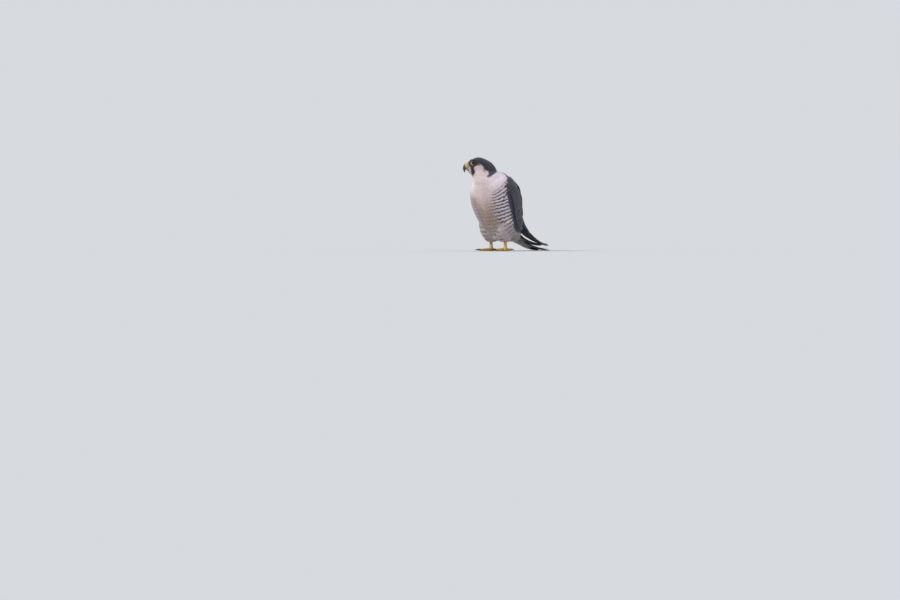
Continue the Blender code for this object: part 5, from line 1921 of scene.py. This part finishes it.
class FALCON_OT_body_coat(bpy.types.Operator):
    """The small feathers of the head, neck, breast, back, thighs and wing edges"""

    bl_idname = "falcon.body_coat"
    bl_label = "Body feathers"

    def execute(self, context):
        hide = MADE["hide"]
        region = region_of(hide.middles)
        hidden = wing_edges(hide.middles, region, hide.face_normals)
        length = coat_sizes(hide.middles, region)
        open_faces = ~bare(hide.middles, region, hide.face_normals) & ~hidden
        station, _, _, _ = BODY.place(hide.middles)
        breast = region == BREAST
        _, left, up = head_place(hide.middles)
        head, crown = region == HEAD, up > 3
        coats = [x / MM for x in (sizes().head_coat, sizes().body_coat, sizes().wing_coat)]
        # Name, faces, spacing as a share of length, rows, columns, slot, seed
        pieces = (
            ("coat_crown", head & crown, 0.22, 5, 3, "body_plumage", 21),
            ("coat_face_left", head & ~crown & (left > 0), 0.22, 5, 3, "body_plumage", 29),
            ("coat_face_right", head & ~crown & (left <= 0), 0.22, 5, 3, "body_plumage", 30),
            ("coat_neck", region == NECK, 0.22, 5, 3, "body_plumage", 22),
            ("coat_breast", breast & (station < 80), 0.24, 6, 5, "body_plumage", 23),
            ("coat_belly", breast & (station >= 80) & (station < 130), 0.23, 6, 5, "body_plumage", 24),
            ("coat_vent", breast & (station >= 130), 0.23, 6, 5, "body_plumage", 28),
            ("coat_back", region == BACK, 0.24, 6, 5, "body_plumage", 25),
            ("coat_thighs", region == THIGH, 0.23, 6, 5, "body_plumage", 26),
            ("coat_wing_edges", region == WING, 0.27, 7, 5, "flight_plumage", 27),
        )
        for name, where, crowding, rows, columns, slot, seed in pieces:
            rng = np.random.default_rng(seed)
            faces = np.flatnonzero(where & open_faces)
            roots, near = hide.roots(faces, length[faces] * crowding, rng)
            each = near / crowding * rng.uniform(0.9, 1.12, len(near))
            kind = region[faces[0]]
            half_width = each * (0.20 if kind == HEAD else 0.27)
            depth = coat_depth(roots, *coats)
            low, high = COAT_HEIGHTS[kind]
            # The body's first feathers start low, under the neck's
            start = 1 - 0.3 * smooth(72, 40, BODY.place(roots)[0]) * (kind in (BREAST, BACK))
            rise = brow_rise(roots)
            feathers = (each, half_width, depth * low * start + rise, depth * high + rise)
            coat = Coat()
            lay_feathers(coat, hide, colours(), roots, kind, feathers, rng, rows, columns)
            coat.build(name, MADE["flight" if kind == WING else "body"])
        return {"FINISHED"}


# The primaries from the lowest up: where their tips lie along the wing, the first one's half width
# and how much wider the last is, the first one's height and the step to the next
PRIMARY_TIPS = (0.985, 1.0, 0.970, 0.935, 0.900, 0.862, 0.828, 0.795, 0.762, 0.730)
PRIMARY_HALF_WIDTH, PRIMARY_WIDER = 6.4, 1.4
PRIMARY_HEIGHT, PRIMARY_STEP = -WING_THICKNESS * 0.86, 0.82

# The tail feathers from the middle pair out: half width, the first tip's and root's distance from
# the middle with the step to the next, and the top one's height with the step down
TAIL_HALF_WIDTH = 8.5
TAIL_TIP, TAIL_TIP_STEP = 1.2, 3.7
TAIL_BASE, TAIL_BASE_STEP = 0.6, 1.5
TAIL_HEIGHT, TAIL_STEP = 3.4, 0.92

# Seeds of the random draws
SKIN_SEED = 3
WING_SEEDS = {1: 41, -1: 42}
TAIL_SEED = 51


def wing_tier(coat, side, rng, count, roots, tips, v_roots, v_tips, widths, heights, tilt, look):
    """One row of like feathers across the wing. Pairs give the row's first and last value."""
    sink, *rises = heights
    for i in range(count):
        share = i / (count - 1)
        u_root, u_tip, v_root, v_tip, half_width, rise = (
            first + (last - first) * share
            for first, last in (roots, tips, v_roots, v_tips, widths, rises))
        u_tip += rng.uniform(-0.006, 0.006)
        rise += rng.uniform(-0.12, 0.12)
        path = wing_path(side, (u_root, v_root), (u_tip, v_tip), sink, rise)
        start = LOOK["start"] + rng.uniform(-0.4, 0.4)
        long_feather(coat, rng, path, inner=half_width, outer=half_width, tilt=tilt * side,
                     start=start, **look)


def make_wing(side, name):
    """The folded wing's feathers from its lowest primary up to its scapulars."""
    rng = np.random.default_rng(WING_SEEDS[side])
    c = colours()
    coat = Coat()
    primary, second, covert = (np.array(x) for x in (c.primaries, c.secondaries, c.coverts))
    for i, u_tip in enumerate(PRIMARY_TIPS):
        share = i / (len(PRIMARY_TIPS) - 1)
        height = PRIMARY_HEIGHT + PRIMARY_STEP * i
        root = (0.44, 0.14 + 0.50 * share)
        tip = (u_tip + rng.uniform(-0.003, 0.003), 0.30 + 0.34 * share)
        half_width = PRIMARY_HALF_WIDTH + PRIMARY_WIDER * share
        long_feather(coat, rng, wing_path(side, root, tip, height, height), inner=half_width,
                     outer=half_width, colour=primary * (0.9 + 0.5 * share), tip=0.08, point=0.42,
                     droop=0.05, strength=0.15, splits=5)
    # Secondaries, the alula's row, greater, median and lesser coverts, and three rows of scapulars:
    # count, u of roots and tips, v of roots and tips, half widths, the roots' height with the
    # tips', tilt, look
    tiers = (
        (12, (0.34, 0.29), (0.690, 0.600), (0.47, 0.92), (0.44, 0.94), (7.6, 7.2), (-3.2, 0.2, 0.7),
         -0.14, dict(colour=second, strength=0.28, pitch=8.5, tip=0.10, splits=4)),
        (8, (0.36, 0.30), (0.575, 0.505), (0.10, 0.42), (0.12, 0.40), (6.2, 6.4), (-3.0, 0.2, 0.5),
         -0.13, dict(colour=covert * 0.85, strength=0.25, pitch=7.5, tip=0.16, splits=2)),
        (11, (0.24, 0.26), (0.435, 0.455), (0.12, 0.84), (0.10, 0.84), (8.4, 7.4), (-2.4, 1.2, 1.3),
         -0.13, dict(colour=covert, strength=0.3, pitch=7.5, tip=0.24, splits=2)),
        (11, (0.17, 0.18), (0.345, 0.360), (0.12, 0.82), (0.12, 0.82), (7.6, 6.8), (-2.2, 1.3, 1.4),
         -0.12, dict(colour=covert * 1.05, strength=0.3, pitch=7.0, tip=0.30, splits=1)),
        (11, (0.11, 0.12), (0.262, 0.272), (0.12, 0.80), (0.12, 0.80), (7.0, 6.4), (-2.0, 1.4, 1.5),
         -0.12, dict(colour=covert * 1.08, strength=0.3, pitch=6.5, tip=0.34, splits=1)),
        (5, (0.20, 0.20), (0.420, 0.440), (0.80, 0.97), (0.76, 0.95), (7.6, 7.0), (-1.6, 2.4, 2.6),
         -0.11, dict(colour=covert * 0.98, strength=0.35, pitch=7.5, tip=0.28, splits=1)),
        (5, (0.12, 0.12), (0.325, 0.345), (0.72, 0.97), (0.72, 0.95), (7.8, 7.0), (-1.6, 2.8, 3.0),
         -0.11, dict(colour=covert * 1.02, strength=0.35, pitch=7.5, tip=0.30, splits=1)),
        (5, (0.03, 0.03), (0.215, 0.235), (0.72, 0.97), (0.72, 0.95), (7.8, 7.0), (-5.6, 3.0, 3.2),
         -0.11, dict(colour=covert * 1.05, strength=0.3, pitch=7.0, tip=0.32, splits=1)),
    )
    for tier in tiers:
        wing_tier(coat, side, rng, *tier)
    coat.build(f"wing_feathers_{name}", MADE["flight"], (f"wing_{name}",))


class FALCON_OT_wings(bpy.types.Operator):
    """The flight feathers, coverts and scapulars of both folded wings"""

    bl_idname = "falcon.wings"
    bl_label = "Wing feathers"

    def execute(self, context):
        for side, name in SIDES:
            make_wing(side, name)
        return {"FINISHED"}


class FALCON_OT_tail(bpy.types.Operator):
    """The twelve tail feathers in a closed fan, with the coverts over and under them"""

    bl_idname = "falcon.tail"
    bl_label = "Tail feathers"

    def execute(self, context):
        rng = np.random.default_rng(TAIL_SEED)
        c = colours()
        grey, white, slate = (np.array(x) for x in (c.tail, c.tail_under, c.rump))
        coat = Coat()
        for pair in range(6):
            for sign in (1, -1):
                layer = 0 if pair == 0 and sign < 0 else pair + 1
                height = TAIL_HEIGHT - TAIL_STEP * layer
                root, tip = TAIL_BASE + TAIL_BASE_STEP * pair, TAIL_TIP + TAIL_TIP_STEP * pair
                wide = TAIL_HALF_WIDTH
                near = wide if pair == 0 else min(wide, tip - 0.4)
                inner, outer = (wide, near) if sign > 0 else (near, wide)
                end = 1.0 - 0.007 * pair ** 1.6
                path = tail_path(sign, root, tip, 0.10, end, height, height)
                long_feather(coat, rng, path, inner=inner, outer=outer, colour=grey * (1 - 0.05 * pair),
                             tip=0.09, droop=0.02, strength=0.85, pitch=8.8, duty=0.36, start=0.30,
                             splits=6, floor=0.06 + 0.24 * (6 - layer))
        covert = dict(inner=6.0, outer=6.0, tip=0.26, strength=0.6, splits=1)
        for sign, offset in ((1, 0), (1, 4.5), (-1, 4.5), (1, 9), (-1, 9), (1, 13), (-1, 13)):
            drop = 0.09 * offset
            for row, (start, end) in enumerate(((0.10, 0.53), (0.03, 0.38))):
                rise = (8.0 + 0.8 * row - drop, 4.9 + 1.6 * row - drop)
                path = tail_path(sign, offset, offset * 0.8, start, end - 0.006 * offset, *rise)
                long_feather(coat, rng, path, colour=slate * (0.8 + 0.15 * row), pitch=8.0,
                             tilt=-0.08 * sign, **covert)
                rise = (-8.0 - 0.3 * row + drop, -4.0 - 1.2 * row + drop)
                path = tail_path(sign, offset, offset * 0.7, start, end + 0.04 - 0.006 * offset, *rise)
                long_feather(coat, rng, path, colour=white, pitch=6.5, duty=0.3, dorsal=0.0,
                             droop=-0.06, tilt=0.08 * sign, floor=0.06, **covert)
        coat.build("tail_feathers", MADE["flight"], ("tail",))
        return {"FINISHED"}


class FALCON_OT_eyes(bpy.types.Operator):
    """Both eyes with their bare rings and lids"""

    bl_idname = "falcon.eyes"
    bl_label = "Eyes"

    def execute(self, context):
        for side, name in SIDES:
            finish_piece(make_eye(side, name), MADE["eye"], (f"eye_{name}",))
            lids = make_lids(side, name)
            attribute(lids, "crease", "FLOAT", lid_creases(lids, side))
            finish_piece(lids, MADE["ring"])
        return {"FINISHED"}


class FALCON_OT_bill(bpy.types.Operator):
    """The cere, the hooked bill and the edges of the mouth"""

    bl_idname = "falcon.bill"
    bl_label = "Bill"

    def execute(self, context):
        finish_piece(make_cere(), MADE["ring"], ("cere",))
        for piece, node_name in zip(make_bill(), ("bill_upper", "bill_lower")):
            finish_piece(piece, MADE["bill"], (node_name,))
        gape = joined("gape", [make_gape(side) for side, _ in SIDES])
        attribute(gape, "crease", "FLOAT", np.zeros(len(gape.data.vertices)))
        finish_piece(gape, MADE["ring"])
        return {"FINISHED"}


class FALCON_OT_feet(bpy.types.Operator):
    """The bare legs, toes and claws"""

    bl_idname = "falcon.feet"
    bl_label = "Feet"

    def execute(self, context):
        for side, name in SIDES:
            parts = [make_tarsus(side)] + [make_toe(side, toe) for toe in TOES]
            foot = joined(f"foot_{name}", parts)
            toes = [f"toe_{name}_{toe[0]}" for toe in TOES]
            finish_piece(foot, MADE["feet"], (f"tarsus_{name}", *toes))
            claws = joined(f"claws_{name}", [make_claw(side, toe) for toe in TOES])
            attribute(claws, "share", "FLOAT", np.ones(len(claws.data.vertices)))
            claw_names = [f"claw_{name}_{toe[0]}" for toe in TOES]
            finish_piece(claws, MADE["claw"], claw_names)
        return {"FINISHED"}


class FALCON_OT_materials(bpy.types.Operator):
    """The materials and the shader groups that they share"""

    bl_idname = "falcon.materials"
    bl_label = "Materials"

    def execute(self, context):
        c = colours()
        GROUPS.update(bars=bars_group(), barbs=barbs_group(), fringe=fringe_group(), mottle=mottle_group())
        MADE["body"] = plumage_material("body_plumage", c, 0.42, 0.14, 0.22, 0.18, 0.82)
        MADE["flight"] = plumage_material("flight_plumage", c, 0.55, 0.10, 0.18, 0.45, 0.62)
        MADE["feet"] = skin_material("foot_skin", c.skin, c.crease, 0.48)
        MADE["ring"] = skin_material("cere_skin", c.ring, c.crease, 0.40)
        MADE["bill"] = horn_material("bill_horn", c.bill_root, c.bill_tip, 0.32, 0.20, 0.40)
        MADE["claw"] = horn_material("claw_horn", c.claw, c.claw, 0.30)
        MADE["eye"] = eye_material(c)
        return {"FINISHED"}


# Stage

# The frame in pixels, millimetres to a pixel at the bird, the feet's place and the horizon's row
PHOTO_WIDTH, PHOTO_HEIGHT = 900, 600
SCALE = 2.7
FEET_IN_PHOTO = (497, 251)
HORIZON_IN_PHOTO = 100
CAMERA_TURN = math.radians(40)
CAMERA_LENS = 480.0
SENSOR = 36.0

# Half the floor's width in metres, the sky's colour, and the lamp's place, strength, tint and width
FLOOR_REACH = 900.0
SKY = (0.68, 0.70, 0.73, 1)
LAMP_PLACE = (-0.55, -1.25, 1.15)
LAMP_STRENGTH = 1.95
LAMP_TINT = (1.0, 0.97, 0.93)
LAMP_WIDTH = math.radians(16)


class FALCON_OT_stage(bpy.types.Operator):
    """The pale floor, soft studio light and the camera"""

    bl_idname = "falcon.stage"
    bl_label = "Stage"

    def execute(self, context):
        scene = bpy.context.scene
        corners = [(x * FLOOR_REACH, y * FLOOR_REACH, 0) for x, y in ((-1, -1), (1, -1), (1, 1), (-1, 1))]
        mesh = bpy.data.meshes.new("floor")
        mesh.from_pydata(corners, [], [(0, 1, 2, 3)])
        floor = bpy.data.objects.new("floor", mesh)
        scene.collection.objects.link(floor)
        mesh.materials.append(floor_material(colours().floor))
        world = bpy.data.worlds.new("studio")
        scene.world = world
        world.use_nodes = True
        background = world.node_tree.nodes["Background"]
        background.inputs["Color"].default_value = SKY
        background.inputs["Strength"].default_value = 1.0
        self.light(scene)
        self.camera(scene)
        scene.view_settings.view_transform = "Standard"
        return {"FINISHED"}

    def light(self, scene):
        """Adds one soft lamp ahead of the bird and above it."""
        data = bpy.data.lights.new("key", "SUN")
        data.angle = LAMP_WIDTH
        data.energy = LAMP_STRENGTH
        data.color = LAMP_TINT
        lamp = bpy.data.objects.new("key", data)
        lamp.location = LAMP_PLACE
        lamp.rotation_euler = (-lamp.location).to_track_quat("-Z", "Y").to_euler()
        scene.collection.objects.link(lamp)

    def camera(self, scene):
        """Sets the camera so that the bird stands in the frame as it does in the photograph."""
        distance = SCALE * MM * PHOTO_WIDTH * CAMERA_LENS / SENSOR
        across = np.array([math.cos(CAMERA_TURN), math.sin(CAMERA_TURN), 0])
        towards = np.array([-math.sin(CAMERA_TURN), math.cos(CAMERA_TURN), 0])
        feet = placed(np.zeros(3))
        aim = feet + across * (PHOTO_WIDTH / 2 - FEET_IN_PHOTO[0]) * SCALE * MM
        aim[2] = (FEET_IN_PHOTO[1] - PHOTO_HEIGHT / 2) * SCALE * MM
        place = aim - towards * distance
        place[2] = (FEET_IN_PHOTO[1] - HORIZON_IN_PHOTO) * SCALE * MM
        data = bpy.data.cameras.new("camera")
        data.lens = CAMERA_LENS
        data.sensor_width = SENSOR
        data.clip_start, data.clip_end = 0.5, 3000
        camera = bpy.data.objects.new("camera", data)
        camera.location = place
        camera.rotation_euler = (Vector(aim) - Vector(place)).to_track_quat("-Z", "Y").to_euler()
        scene.collection.objects.link(camera)
        scene.camera = camera


# The add-on

OPERATORS = (
    FALCON_OT_materials, FALCON_OT_skin, FALCON_OT_body_coat, FALCON_OT_wings, FALCON_OT_tail,
    FALCON_OT_eyes, FALCON_OT_bill, FALCON_OT_feet, FALCON_OT_stage,
)


class FALCON_PT_panel(bpy.types.Panel):
    """The falcon's sizes, colours and pieces"""

    bl_label = "Falcon"
    bl_idname = "FALCON_PT_panel"
    bl_space_type = "VIEW_3D"
    bl_region_type = "UI"
    bl_category = "Falcon"

    def draw(self, context):
        for group in (context.scene.falcon_sizes, context.scene.falcon_colours):
            box = self.layout.box()
            for name in group.__annotations__:
                box.prop(group, name)
        for operator in OPERATORS:
            self.layout.operator(operator.bl_idname)


CLASSES = (FalconSizes, FalconColours, *OPERATORS, FALCON_PT_panel)


def register():
    for made in CLASSES:
        bpy.utils.register_class(made)
    bpy.types.Scene.falcon_sizes = bpy.props.PointerProperty(type=FalconSizes)
    bpy.types.Scene.falcon_colours = bpy.props.PointerProperty(type=FalconColours)


def unregister():
    del bpy.types.Scene.falcon_colours
    del bpy.types.Scene.falcon_sizes
    for made in reversed(CLASSES):
        bpy.utils.unregister_class(made)


def main():
    register()
    for name in ("materials", "skin", "body_coat", "wings", "tail", "eyes", "bill", "feet", "stage"):
        getattr(bpy.ops.falcon, name)()
    bpy.context.view_layer.update()


if __name__ == "__main__":
    main()
